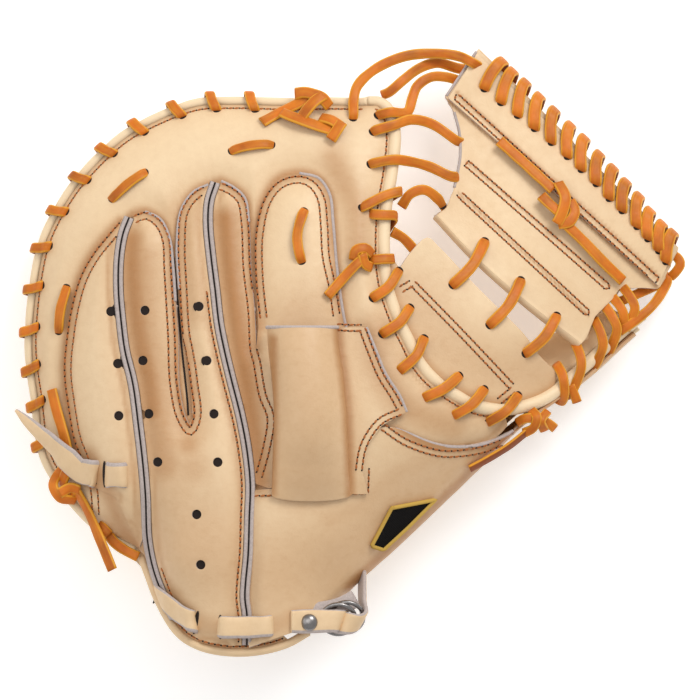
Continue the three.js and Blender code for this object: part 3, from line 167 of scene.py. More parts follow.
WEB_HEIGHTS = [
    [64, 151, 27], [90, 126, 26], [114, 102, 25], [140, 77, 23.5], [165, 52, 22], [50, 120, 34],
    [53, 85, 42], [45, 66, 47], [60, 47, 50], [75, 30, 50], [92, 16, 47], [110, 4, 42], [155, 35, 24],
    [125, 30, 35], [85, 80, 38], [115, 62, 34], [70, 110, 33],
]
BASE_HEIGHTS = [
    [22, 46, 64], [24, 30, 66], [30, 16, 67], [36, 5, 67], [42, -5, 66.5], [56, -16, 63], [67, -21, 58.5],
    [79, -22, 53], [92, -19, 46], [39, 57, 58], [45, 52, 57], [62, 34, 56], [73, 23, 55], [87, 9, 51],
    [95, -2, 46], [103, -12, 41],
]

# Seams and stitched lines of the back, in plan
SEAM_LITTLE = [
    [-110, 67], [-113, 59], [-115, 47], [-115.3, 31], [-113.8, 14], [-112, 0.5], [-108, -16], [-105, -38],
    [-103, -55], [-101.6, -72], [-100.8, -94], [-97.8, -109], [-92.5, -123], [-87.5, -133], [-83, -141],
]
SEAM_MIDDLE = [
    [-67, 84.5], [-70, 75], [-70.6, 64], [-69, 47], [-67, 31], [-65, 14], [-62.3, 0.5], [-58.8, -14],
    [-54, -33], [-51, -49], [-49.3, -66], [-49.8, -83], [-50.3, -100], [-52, -122], [-51, -131],
    [-51, -146],
]
LITTLE_LEFT = [
    [-114.4, 65.2], [-121, 58.5], [-128.5, 49], [-134.5, 38], [-138.5, 24], [-141, 9], [-142.5, -10],
    [-140.6, -28], [-137.4, -45], [-134, -58], [-127, -68],
]
RING_TIP = [
    [-108.5, 68.5], [-102, 69.8], [-94.5, 66], [-90, 57], [-88, 42], [-86.8, 25], [-85.4, 8], [-85, -16],
    [-82, -31.5], [-80, -36],
]
MIDDLE_TIP = [
    [-78, -33], [-79.3, -16], [-81.3, 1], [-83.4, 10], [-84.8, 31], [-86, 53], [-84, 70.5], [-78, 79.5],
    [-70.5, 83.3],
]
INDEX_EDGE = [
    [-64, 85], [-58, 82], [-52.3, 76.5], [-50.2, 64.5], [-49.3, 42], [-47.4, 20], [-46.4, 2],
]
INDEX_STALL = [
    [-45.4, 12], [-46.6, 36], [-46.6, 59], [-42.5, 76.5], [-35, 86.5], [-25, 89], [-15.5, 86.5], [-10, 78.5],
    [-8.2, 64], [-6.3, 42], [-2.8, 17], [0, 6],
]


def lerp(a, b, t):
    return a + (b - a) * t


def spread(first, last, count):
    return np.linspace(first, last, count)


def between(spots, known, rows):
    """The columns of a table, read between its known places."""
    return np.stack([np.interp(spots, known, column) for column in rows.T], -1)


def units(rows):
    """Directions brought to length 1."""
    return rows / np.linalg.norm(rows, axis=-1, keepdims=True)


def thin_plate(rows, ease=0.4):
    """A smooth height field through a table of heights."""
    rows = np.array(rows, float)
    count = len(rows)

    def bump(x, y):
        squared = ((x[..., None] - rows[:, 0]) ** 2 + (y[..., None] - rows[:, 1]) ** 2) / 10000
        return squared * np.log(np.maximum(squared, 1e-12))

    grid = np.zeros((count + 3, count + 3))
    grid[:count, :count] = bump(rows[:, 0], rows[:, 1]) + np.eye(count) * ease * 0.01
    plane = np.stack([np.ones(count), rows[:, 0] / 100, rows[:, 1] / 100], 1)
    grid[:count, count:] = plane
    grid[count:, :count] = plane.T
    weights = np.linalg.solve(grid, np.append(rows[:, 2], [0, 0, 0]))

    def height(x, y):
        x = np.asarray(x, float)
        y = np.asarray(y, float)
        level = weights[count] + weights[count + 1] * x / 100 + weights[count + 2] * y / 100
        return bump(x, y) @ weights[:count] + level

    return height


class Path:
    """A centripetal curve through points, sampled finely."""

    def __init__(self, points, per=24):
        points = np.array(points, float)
        if points.shape[1] == 2:
            points = np.pad(points, ((0, 0), (0, 1)))
        ends = np.vstack([2 * points[0] - points[1], points, 2 * points[-1] - points[-2]])
        runs = []
        for i in range(len(points) - 1):
            p0, p1, p2, p3 = ends[i:i + 4]
            d0, d1, d2 = (max(np.linalg.norm(b - a), 1e-6) ** 0.5 for a, b in ((p0, p1), (p1, p2), (p2, p3)))
            t1 = ((p1 - p0) / d0 - (p2 - p0) / (d0 + d1) + (p2 - p1) / d1) * d1
            t2 = ((p2 - p1) / d1 - (p3 - p1) / (d1 + d2) + (p3 - p2) / d2) * d1
            t = np.arange(per)[:, None] / per
            bend = 3 * (p2 - p1) - 2 * t1 - t2
            twist = 2 * (p1 - p2) + t1 + t2
            runs.append(p1 + t1 * t + bend * t ** 2 + twist * t ** 3)
        self.points = np.vstack(runs + [points[-1:]])
        self.places = np.arange(len(self.points)) / per
        steps = np.linalg.norm(np.diff(self.points, axis=0), axis=1)
        self.run = np.concatenate([[0], np.cumsum(steps)])
        self.length = self.run[-1]

    def at(self, share):
        """The point at a share of the length."""
        return between(np.asarray(share) * self.length, self.run, self.points)

    def by_place(self, place):
        """The point at a place counted in control points."""
        return between(place, self.places, self.points)

    def along(self, share):
        """The direction at a share of the length."""
        step = 0.4 / self.length
        return units(self.at(np.clip(share + step, 0, 1)) - self.at(np.clip(share - step, 0, 1)))

    def nearest(self, x, y):
        """The share of the length nearest to a point in plan."""
        return self.run[np.argmin(np.hypot(self.points[:, 0] - x, self.points[:, 1] - y))] / self.length

    def evenly(self, step):
        """Points about one step apart."""
        return self.at(spread(0, 1, max(2, int(round(self.length / step)) + 1)))


def beside(rows, distance, step=1.5):
    """A run of places moved sideways in plan, to the left of its direction when the distance is positive."""
    path = Path(rows)
    shares = spread(0, 1, max(2, int(path.length / step) + 1))
    points = path.at(shares)
    way = units(path.along(shares)[:, :2])
    return points[:, :2] + np.stack([-way[:, 1], way[:, 0]], 1) * distance


def run_of(rows, step=1.5):
    """A smooth run in plan, or a straight one between two places."""
    rows = np.array(rows, float)[:, :2]
    return rows if len(rows) < 3 else Path(rows).evenly(step)[:, :2]


def outline_of(*runs):
    """One closed outline from several runs, with doubled corners left out."""
    points = np.vstack(runs)
    keep = [points[0]]
    for point in points[1:]:
        if np.hypot(*(point - keep[-1])) > 0.25:
            keep.append(point)
    if np.hypot(*(keep[0] - keep[-1])) < 0.25:
        keep.pop()
    return np.array(keep)


def distance_to(lines, x, y, batch=4000):
    """Least distance in plan from each point to some finely sampled lines, worked out in batches."""
    marks = np.vstack(lines)
    flat_x = np.ravel(x)
    flat_y = np.ravel(y)
    least = np.empty(len(flat_x))
    for start in range(0, len(flat_x), batch):
        part = slice(start, start + batch)
        squared = (flat_x[part, None] - marks[:, 0]) ** 2 + (flat_y[part, None] - marks[:, 1]) ** 2
        least[part] = np.sqrt(squared.min(1))
    return least.reshape(np.shape(x))


def inside(outline, x, y):
    """Whether points in plan lie inside a closed outline."""
    result = np.zeros(np.shape(x), bool)
    for (ax, ay), (bx, by) in zip(outline, np.roll(outline, -1, axis=0)):
        if ay == by:
            continue
        crosses = (ay > y) != (by > y)
        result ^= crosses & (x < (bx - ax) * (y - ay) / (by - ay) + ax)
    return result


def raised(rows, rise):
    return [(x, y, z + rise) for x, y, z in rows]


LEATHER = 2.0
OVERLAY_LIFT = LEATHER + GAP
THUMB_LIFT = OVERLAY_LIFT + 1.2
HOOD_LIFT = 2 * OVERLAY_LIFT + 1.6
BAND_LIFT = LEATHER + 0.8
PUFF_REACH = 9

plain_back = thin_plate(
    raised(FINGER_RIM, GAP / 2) + raised(HEEL_EDGE, -OVERLAY_LIFT) + raised(CROTCH_RIM[1:18], -1)
    + BACK_HEIGHTS)
web_height = thin_plate(WEB_HEIGHTS)
base_height = thin_plate(BASE_HEIGHTS)
finger_path = Path(FINGER_RIM)
crotch_path = Path(CROTCH_RIM)
heel_path = Path(HEEL_EDGE)
thumb_path = Path(THUMB_RIM)

# Lines that hold the padding down
HELD_LINES = [run_of(rows, 1.0) for rows in (
    SEAM_LITTLE, SEAM_MIDDLE, LITTLE_LEFT, RING_TIP, MIDDLE_TIP, INDEX_EDGE, INDEX_STALL, HEEL_EDGE,
    CROTCH_RIM, FINGER_RIM)]


def size_of(name):
    """One of the panel's sizes, in millimetres."""
    return getattr(bpy.context.scene.mitt_sizes, name) / MM


def back_height(x, y):
    """Height of the finger back's inner face, lifted by its padding between the seams."""
    x = np.asarray(x, float)
    y = np.asarray(y, float)
    held = distance_to(HELD_LINES, x, y)
    return plain_back(x, y) + size_of("puff") * (1 - np.exp(-(held / PUFF_REACH) ** 2))


def cover_height(x, y):
    """Height of what lies over the padding without following each seam."""
    return plain_back(x, y) + size_of("puff") * 0.8


def place(height, x, y, lift):
    """A point on a height field, raised by a lift."""
    return np.array([x, y, float(height(np.array([x]), np.array([y]))[0]) + lift])


# A place on a lace: x, y, z, share of the full width, and the sheet it goes through (0 for none)
def on_sheet(height, sheet, x, y, lift):
    into = -4 < lift < 1
    return np.append(place(height, x, y, lift), [0.6 if into else 1.0, sheet if into else 0])


def on_back(x, y, lift):
    return on_sheet(back_height, 1, x, y, lift)


def on_web(x, y, lift):
    return on_sheet(web_height, 2, x, y, lift)


def on_base(x, y, lift):
    return on_sheet(base_height, 3, x, y, lift)


def at(x, y, z, share=1):
    return np.array([x, y, z, share, 0], float)


# Mesh helpers. Each works in millimetres, and finish_piece turns them into metres.
def set_places(verts, places):
    for vert, spot in zip(verts, places):
        vert.co = spot


def lay_map(bm, place_of):
    """A UV map that takes each corner's place from its vertex."""
    uv = bm.loops.layers.uv.new("UVMap")
    for face in bm.faces:
        for loop in face.loops:
            loop[uv].uv = place_of(loop.vert)


def loft(rows, wrap=False, caps=False):
    """A grid laid on rows of points, with its UV map counted along the rows and across them."""
    rows = np.asarray(rows, float)
    count, width = rows.shape[:2]
    bm = bmesh.new()
    bmesh.ops.create_grid(bm, x_segments=width - 1, y_segments=count - 1, size=1)
    order = sorted(bm.verts, key=lambda vert: (round(vert.co.y, 5), round(vert.co.x, 5)))
    steps = np.linalg.norm(np.diff(rows, axis=0), axis=2).mean(1)
    run = np.concatenate([[0], np.cumsum(steps)]) * MM
    across = spread(0, 1, width)
    marks = {vert: (run[i // width], across[i % width]) for i, vert in enumerate(order)}
    lay_map(bm, lambda vert: marks[vert])
    set_places(order, rows.reshape(-1, 3))
    if wrap:
        bmesh.ops.remove_doubles(bm, verts=bm.verts[:], dist=1e-4)
    if caps:
        bmesh.ops.holes_fill(bm, edges=[edge for edge in bm.edges if edge.is_boundary], sides=0)
        bmesh.ops.recalc_face_normals(bm, faces=bm.faces[:])
    return bm


def face_up(bm):
    """Turns a sheet so that its faces look up."""
    bm.normal_update()
    if sum(face.normal.z for face in bm.faces) < 0:
        bmesh.ops.reverse_faces(bm, faces=bm.faces[:])


def flat_sheet(outline, pitch):
    """A closed outline filled with squares of one pitch."""
    bm = bmesh.new()
    bm.faces.new([bm.verts.new((x, y, 0)) for x, y in outline])
    low = outline.min(0)
    high = outline.max(0)
    for axis, normal in ((0, (1, 0, 0)), (1, (0, 1, 0))):
        first = math.floor(low[axis] / pitch) + 1
        last = math.ceil(high[axis] / pitch)
        for step in range(first, last):
            spot = [0, 0, 0]
            spot[axis] = step * pitch + 0.013
            bmesh.ops.bisect_plane(
                bm, geom=bm.verts[:] + bm.edges[:] + bm.faces[:], dist=1e-5, plane_co=spot, plane_no=normal)
    bmesh.ops.recalc_face_normals(bm, faces=bm.faces[:])
    face_up(bm)
    return bm


def punch(bm, places, radius, refined=2.4, drawn=1.6):
    """Round holes through a flat sheet, whose faces are made finer there and drawn onto the hole's edge."""
    for x, y in places:
        middle = Vector((x, y, 0))
        near = [face for face in bm.faces if (face.calc_center_median() - middle).length < radius + refined]
        edges = {edge for face in near for edge in face.edges}
        bmesh.ops.subdivide_edges(bm, edges=list(edges), cuts=1, use_grid_fill=True)
        gone = [vert for vert in bm.verts if math.hypot(vert.co.x - x, vert.co.y - y) < radius]
        bmesh.ops.delete(bm, geom=gone, context="VERTS")
        for vert in bm.verts:
            offset = Vector((vert.co.x - x, vert.co.y - y, 0))
            if vert.is_boundary and offset.length < radius + drawn:
                vert.co = middle + offset.normalized() * radius


def plan_of(bm):
    """The plan places of a mesh's vertices."""
    return np.array([vert.co[:2] for vert in bm.verts])


def drape(bm, height):
    """Lifts a flat sheet onto a height field."""
    plan = plan_of(bm)
    for vert, level in zip(bm.verts, height(plan[:, 0], plan[:, 1])):
        vert.co.z = level


def along_edges(outline, count):
    """Evenly spaced places along each edge of a closed outline."""
    return [a + (b - a) * spread(0, 1, count)[:, None] for a, b in zip(outline, np.roll(outline, -1, axis=0))]


def trim(bm, outline, reach):
    """Cuts a lofted sheet to an outline seen from above, and draws its new edge onto the outline."""
    plan = np.array([face.calc_center_median()[:2] for face in bm.faces])
    kept = inside(outline, plan[:, 0], plan[:, 1])
    bmesh.ops.delete(bm, geom=[face for face, keep in zip(bm.faces[:], kept) if not keep], context="FACES")
    marks = np.vstack(along_edges(outline, 40))
    for vert in bm.verts:
        if vert.is_boundary:
            gaps = np.hypot(marks[:, 0] - vert.co.x, marks[:, 1] - vert.co.y)
            best = gaps.argmin()
            if gaps[best] < reach:
                vert.co.x, vert.co.y = marks[best]


LACE_PROFILE = [
    (-1, -0.3), (-1, 0.2), (-0.92, 0.62), (-0.74, 1), (-0.3, 1.1), (0.3, 1.1), (0.74, 1), (0.92, 0.62),
    (1, 0.2), (1, -0.3), (0.94, -0.82), (0.75, -1), (0, -1), (-0.75, -1), (-0.94, -0.82),
]


def strip_rows(points, width, thick, sides=None, height=None, step=1.1, seed=1):
    """Cross-sections of a leather strip through a run of points."""
    points = np.array(points, float)
    widths = points[:, 3]
    points = points[:, :3]
    path = Path(points)
    count = max(6, int(path.length / step))
    places = np.interp(spread(0, 1, count), path.run / path.length, path.places)
    middles = path.by_place(places)
    ways = path.along(spread(0, 1, count))
    if sides is None:
        ahead = np.vstack([points[1:], points[-1:]])
        behind = np.vstack([points[:1], points[:-1]])
        sides = np.stack([behind[:, 1] - ahead[:, 1], ahead[:, 0] - behind[:, 0], np.zeros(len(points))], 1)
        sides = units(sides)
        if height:
            left = height(points[:, 0] + sides[:, 0], points[:, 1] + sides[:, 1])
            right = height(points[:, 0] - sides[:, 0], points[:, 1] - sides[:, 1])
            sides[:, 2] = (left - right) / 2
    sides = np.array([sides[min(i, len(sides) - 1)] for i in range(len(points))], float)
    side = between(places, np.arange(len(points)), sides)
    side = units(side - ways * (side * ways).sum(1, keepdims=True))
    up = np.cross(ways, side)
    source = random.Random(seed)
    waver = np.interp(spread(0, 1, count), spread(0, 1, 2 + count // 6), [
        source.uniform(-0.06, 0.04) for _ in range(2 + count // 6)])
    wide = (width / 2 * (1 + waver) * np.interp(places, np.arange(len(points)), widths))[:, None]
    profile = LACE_PROFILE + LACE_PROFILE[:1]
    return np.stack([middles + side * wide * a + up * thick / 2 * b for a, b in profile], 1)


def strip(points, **look):
    """A closed leather strip through a run of points. Its UV map counts 0 to 1 round the section."""
    return loft(strip_rows(points, **look), wrap=True, caps=True)


def tube(path, radius, step=1.6, sides=18, wobble=None):
    """A closed round roll along a path."""
    shares = spread(0, 1, max(4, int(path.length / step)))
    middles = path.at(shares)
    ways = path.along(shares)
    across = units(np.cross(ways, [0, 0, 1.0]))
    up = np.cross(across, ways)
    radii = np.full(len(shares), radius) if wobble is None else radius * wobble(middles)
    rows = []
    for turn in spread(0, 2 * math.pi, sides + 1):
        rows.append(middles + (across * math.cos(turn) + up * math.sin(turn)) * radii[:, None])
    return loft(np.stack(rows, 1), wrap=True, caps=True)


def colour_round(bm, pick):
    """Gives each face the finish that its place round the section picks."""
    uv = bm.loops.layers.uv["UVMap"]
    for face in bm.faces:
        face.material_index = int(pick(sum(loop[uv].uv.y for loop in face.loops) / len(face.loops)))


def spin_round(bm, steps):
    """Turns the profile in a mesh once round the Z axis into a closed shape."""
    bmesh.ops.spin(
        bm, geom=bm.verts[:] + bm.edges[:], axis=(0, 0, 1), cent=(0, 0, 0), angle=2 * math.pi, steps=steps,
        use_merge=True)
    bmesh.ops.remove_doubles(bm, verts=bm.verts[:], dist=1e-3)
    bmesh.ops.recalc_face_normals(bm, faces=bm.faces[:])


def add_ball(bm, placing, halves, around, along):
    """A ball stretched to its half sizes and set at a placing."""
    bmesh.ops.create_uvsphere(
        bm, u_segments=around, v_segments=along, radius=1, matrix=placing @ Matrix.Diagonal((*halves, 1)))


def gather(*parts):
    """Several meshes as one."""
    whole = bmesh.new()
    whole.loops.layers.uv.new("UVMap")
    for part in parts:
        mesh = bpy.data.meshes.new("part")
        part.to_mesh(mesh)
        part.free()
        whole.from_mesh(mesh)
        bpy.data.meshes.remove(mesh)
    return whole


def add_object(name, data):
    made = bpy.data.objects.new(name, data)
    bpy.context.scene.collection.objects.link(made)
    return made


def finish_piece(name, bm, looks, nodes=(), wall=None, round_edge=None, marks=None):
    """Makes the object of a piece, in metres, riding on the mitt and standing for its nodes."""
    bmesh.ops.scale(bm, vec=(MM, MM, MM), verts=bm.verts[:])
    mesh = bpy.data.meshes.new(name)
    bm.to_mesh(mesh)
    bm.free()
    for look in looks:
        mesh.materials.append(LOOKS[look])
    for polygon in mesh.polygons:
        polygon.use_smooth = True
    for mark, values in (marks or {}).items():
        layer = mesh.attributes.new(mark, "FLOAT", "POINT")
        layer.data.foreach_set("value", np.asarray(values, np.float32))
    piece = add_object(name, mesh)
    if wall:
        solidify = piece.modifiers.new("Wall", "SOLIDIFY")
        solidify.thickness = wall * MM
        solidify.offset = -1
        solidify.material_offset_rim = 1 if len(looks) > 1 else 0
        solidify.material_offset = 2 if len(looks) > 2 else 0
    if round_edge:
        bevel = piece.modifiers.new("Round edge", "BEVEL")
        bevel.width = round_edge * MM
        bevel.segments = 2
        bevel.limit_method = "ANGLE"
        bevel.angle_limit = math.radians(50)
    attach(piece, "root")
    if nodes:
        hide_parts(*nodes)
    return piece


def finish_sheet(name, bm, node, marks, round_edge=0.5, lined=True):
    """A leather sheet with its wall, its raw edges and, where its under side can show, its flesh side."""
    looks = ("tan", "raw", "inner") if lined else ("tan", "raw")
    finish_piece(name, bm, looks, [node], wall=LEATHER, round_edge=round_edge, marks=marks)


# Materials
def feed(tree, node, values):
    """Links sockets to a node's inputs, or sets them to constants."""
    for key, value in values.items():
        if isinstance(value, bpy.types.NodeSocket):
            tree.links.new(value, node.inputs[key])
        else:
            node.inputs[key].default_value = value


def add_node(tree, kind, values, **settings):
    node = tree.nodes.new(kind)
    for key, value in settings.items():
        setattr(node, key, value)
    feed(tree, node, values)
    return node


def noise(tree, vector, scale, detail=3.0, rough=0.5, distortion=0.0):
    return add_node(tree, "ShaderNodeTexNoise", {
        "Vector": vector, "Scale": scale, "Detail": detail, "Roughness": rough, "Distortion": distortion,
    }).outputs["Fac"]


def span(tree, value, low, high, to_low=0.0, to_high=1.0):
    return add_node(tree, "ShaderNodeMapRange", {
        "Value": value, "From Min": low, "From Max": high, "To Min": to_low, "To Max": to_high,
    }).outputs["Result"]


def calc(tree, operation, a, b):
    return add_node(tree, "ShaderNodeMath", {0: a, 1: b}, operation=operation).outputs[0]


def blend_colour(tree, factor, a, b):
    colours = [value if isinstance(value, bpy.types.NodeSocket) else (*value[:3], 1) for value in (a, b)]
    values = {"Factor": factor, 6: colours[0], 7: colours[1]}
    return add_node(tree, "ShaderNodeMix", values, data_type="RGBA").outputs[2]


def bumped(tree, height, strength, distance, normal=None):
    values = {"Height": height, "Strength": strength, "Distance": distance}
    if normal is not None:
        values["Normal"] = normal
    return add_node(tree, "ShaderNodeBump", values).outputs["Normal"]


def start_material(name, roughness):
    look = bpy.data.materials.new(name)
    look.use_nodes = True
    tree = look.node_tree
    shader = tree.nodes["Principled BSDF"]
    shader.inputs["Roughness"].default_value = roughness
    spots = tree.nodes.new("ShaderNodeTexCoord")
    return look, tree, shader, spots.outputs["Object"], spots.outputs["UV"]


def leather(name, main, deep, pale, grain=1.0, roughness=0.52):
    """Full-grain leather: pores, faint creases and random darker tone, with painted shade in its valleys and
    a painted highlight on its high places.
    """
    look, tree, shader, spot, _ = start_material(name, roughness)
    # Amounts of painted shade and painted highlight, read from each sheet's own attributes
    painted_shade = add_node(tree, "ShaderNodeAttribute", {}, attribute_name="painted_shade").outputs["Fac"]
    painted_highlight = add_node(tree, "ShaderNodeAttribute", {}, attribute_name="painted_highlight").outputs["Fac"]
    broad = noise(tree, spot, 18, 2, 0.5)
    fine = noise(tree, spot, 240, 3, 0.6)
    tint = blend_colour(tree, span(tree, broad, 0.3, 0.75, 0.0, 0.12), main, deep)
    # Painted highlight: paler towards the crowns between the seams
    tint = blend_colour(tree, span(tree, painted_highlight, 0, 1, 0, 0.55), tint, pale)
    tint = blend_colour(tree, span(tree, fine, 0.35, 0.8, 0.0, 0.10), tint, deep)
    # Painted shade: darker in the valleys and beside the seams
    tint = blend_colour(tree, span(tree, painted_shade, 0, 1, 0, 0.88), tint, deep)
    stretched = add_node(tree, "ShaderNodeMapping", {"Vector": spot, "Scale": (190, 330, 190)}).outputs[0]
    crease = noise(tree, stretched, 1, 4, 0.55, 0.4)
    # Creases drawn darker where the painted shade lies
    lines = calc(tree, "MULTIPLY", span(tree, crease, 0.52, 0.68), span(tree, painted_shade, 0.1, 1, 0.02, 0.2))
    tint = blend_colour(tree, lines, tint, deep)
    pores = add_node(tree, "ShaderNodeTexVoronoi", {"Vector": spot, "Scale": 1150.0}, feature="SMOOTH_F1")
    wrinkle = noise(tree, spot, 130, 4, 0.62, 0.6)
    normal = bumped(tree, pores.outputs["Distance"], 0.32 * grain, 0.00016)
    normal = bumped(tree, wrinkle, 0.34 * grain, 0.0005, normal)
    normal = bumped(tree, crease, span(tree, painted_shade, 0, 1, 0.05, 0.4), 0.0006, normal)
    polish = span(tree, fine, 0.3, 0.8, roughness - 0.06, roughness + 0.08)
    feed(tree, shader, {"Base Color": tint, "Normal": normal, "Roughness": polish})
    return look


def suede(name, main, deep):
    """Napped cut edge: fibres and no gloss."""
    look, tree, shader, spot, _ = start_material(name, 0.95)
    fibre = noise(tree, spot, 900, 4, 0.7)
    tint = blend_colour(tree, span(tree, fibre, 0.3, 0.75), main, deep)
    feed(tree, shader, {
        "Base Color": tint, "Normal": bumped(tree, fibre, 0.6, 0.0003), "Specular IOR Level": 0.15,
        "Sheen Weight": 0.2})
    return look


def lace_leather(name, main, edge, deep):
    """Waxed lace: grain side on top, yellow cut edges and a dark flesh side, counted round the section."""
    look, tree, shader, spot, uv = start_material(name, 0.42)
    round_it = add_node(tree, "ShaderNodeSeparateXYZ", {"Vector": uv}).outputs["Y"]
    folded = calc(tree, "ABSOLUTE", calc(tree, "SUBTRACT", round_it, 0.3), 0.0)
    stretched = add_node(tree, "ShaderNodeMapping", {"Vector": uv, "Scale": (60, 9, 1)}).outputs[0]
    streak = noise(tree, stretched, 1, 4, 0.6)
    blotch = noise(tree, spot, 70, 3, 0.55)
    tint = blend_colour(tree, span(tree, blotch, 0.35, 0.75, 0.0, 0.6), main, deep)
    tint = blend_colour(tree, span(tree, streak, 0.4, 0.75, 0.0, 0.35), tint, edge)
    side = calc(tree, "MULTIPLY", span(tree, folded, 0.09, 0.13), span(tree, folded, 0.42, 0.34))
    tint = blend_colour(tree, calc(tree, "MULTIPLY", side, 0.85), tint, edge)
    tint = blend_colour(tree, span(tree, folded, 0.36, 0.44, 0.0, 0.8), tint, deep)
    grain = noise(tree, spot, 620, 4, 0.6)
    normal = bumped(tree, grain, 0.45, 0.0003)
    normal = bumped(tree, streak, 0.18, 0.0003, normal)
    polish = span(tree, grain, 0.3, 0.8, 0.36, 0.56)
    feed(tree, shader, {
        "Base Color": tint, "Normal": normal, "Roughness": polish, "Specular IOR Level": 0.25})
    return look


def thread(name, main):
    look, tree, shader, spot, _ = start_material(name, 0.7)
    twist = noise(tree, spot, 1600, 2, 0.5)
    tint = blend_colour(tree, span(tree, twist, 0.3, 0.7), main, tuple(c * 0.62 for c in main[:3]))
    feed(tree, shader, {"Base Color": tint, "Normal": bumped(tree, twist, 0.5, 0.0002)})
    return look


# Near-black painted shade, put in holes, slits and grooves where shade falls
def shaded_hole(name):
    look, tree, shader, spot, _ = start_material(name, 0.9)
    tint = blend_colour(tree, noise(tree, spot, 500), tone(14, 8, 6), tone(38, 21, 12))
    feed(tree, shader, {"Base Color": tint})
    return look


def nickel(name, main):
    look, tree, shader, spot, _ = start_material(name, 0.28)
    scuff = noise(tree, spot, 420, 4, 0.6)
    tint = blend_colour(tree, span(tree, scuff, 0.4, 0.8), main, tuple(c * 0.72 for c in main[:3]))
    feed(tree, shader, {
        "Base Color": tint, "Normal": bumped(tree, scuff, 0.08, 0.0002), "Metallic": 1.0,
        "Roughness": span(tree, scuff, 0.3, 0.8, 0.2, 0.4)})
    return look


def weave(name, main, pale):
    """Dense weave with its threads counted in the piece's own UV map, in millimetres."""
    look, tree, shader, _, uv = start_material(name, 0.8)
    across, down = (
        add_node(
            tree, "ShaderNodeTexWave", {"Vector": uv, "Scale": scale, "Distortion": distortion},
            wave_type="BANDS", bands_direction=direction).outputs["Fac"]
        for scale, distortion, direction in ((0.5, 0.3, "DIAGONAL"), (0.9, 0.2, "X")))
    threads = calc(tree, "MULTIPLY", across, down)
    feed(tree, shader, {
        "Base Color": blend_colour(tree, threads, main, pale), "Normal": bumped(tree, threads, 0.6, 0.0003),
        "Specular IOR Level": 0.1})
    return look


LOOKS = {}


def make_looks():
    """All finishes, from the colours in the panel."""
    colours = bpy.context.scene.mitt_colours
    tan = tuple(colours.tan)
    deep = tuple(colours.tan_deep_and_shade)
    cream = tuple(colours.cream)
    # Each leather takes its painted shade from its darker colour and its painted highlight from its paler one
    LOOKS["tan"] = leather("tan_leather", tan, deep, cream)
    LOOKS["cream"] = leather("cream_leather", cream, tan, tone(250, 236, 210), grain=0.8)
    LOOKS["inner"] = leather("inner_leather", tone(226, 190, 146), deep, tan, grain=0.7, roughness=0.7)
    LOOKS["suede"] = suede("bare_suede", tuple(colours.suede), tuple(c * 0.68 for c in colours.suede))
    LOOKS["raw"] = suede("raw_edge", tone(208, 188, 172), tone(176, 150, 130))
    LOOKS["lace"] = lace_leather(
        "lace_leather", tuple(colours.lace), tuple(colours.lace_edge), tuple(colours.lace_deep))
    LOOKS["thread"] = thread("thread", tuple(colours.thread))
    LOOKS["hole"] = shaded_hole("painted_hole_shade")
    LOOKS["nickel"] = nickel("nickel", tuple(colours.metal))
    LOOKS["patch"] = weave("woven_patch", tuple(colours.patch), tone(32, 28, 26))
    LOOKS["border"] = weave("woven_border", tuple(colours.patch_border), tone(150, 112, 44))


# Stitches: half the width and height of a thread, half sizes of the dark patch of painted shade at a needle
# hole, and the lean of a stitch
THREAD_HALVES = (0.56, 0.4)
NEEDLE_HOLE_SHADE = (0.55, 0.55, 0.22)
STITCH_LEAN = math.radians(9)
STITCH_LIFT = 0.14


def stitch_parts(lines, surface, doubled):
    """Stitches laid on a surface along lines in plan, and dark patches of painted shade at the needle holes
    at their ends.
    """
    pitch = size_of("stitch_pitch")
    length = size_of("stitch_length")
    threads = bmesh.new()
    holes = bmesh.new()
    offsets = (-doubled / 2, doubled / 2) if doubled else (0,)
    lean = Matrix.Rotation(STITCH_LEAN, 4, "Z")
    for line in lines:
        for offset in offsets:
            route = Path(beside(line, offset, 0.8)) if offset else Path(run_of(line, 0.8))
            count = int(route.length / pitch)
            middles = (np.arange(count) + 0.5) * pitch / route.length
            middles = middles[middles < 1 - 0.4 * pitch / route.length]
            a = route.at(middles - length / 2 / route.length)
            b = route.at(middles + length / 2 / route.length)
            a[:, 2] = surface(a[:, 0], a[:, 1]) + STITCH_LIFT
            b[:, 2] = surface(b[:, 0], b[:, 1]) + STITCH_LIFT
            for first, last in zip(a, b):
                way = Vector(last - first)
                turn = way.to_track_quat("X", "Z").to_matrix().to_4x4()
                middle = Matrix.Translation(Vector((first + last) / 2))
                add_ball(threads, middle @ turn @ lean, (way.length / 2 + 0.1, *THREAD_HALVES), 6, 4)
                end = Matrix.Translation(Vector(last + unit(last - first) * 0.3))
                add_ball(holes, end, NEEDLE_HOLE_SHADE, 6, 3)
    return threads, holes


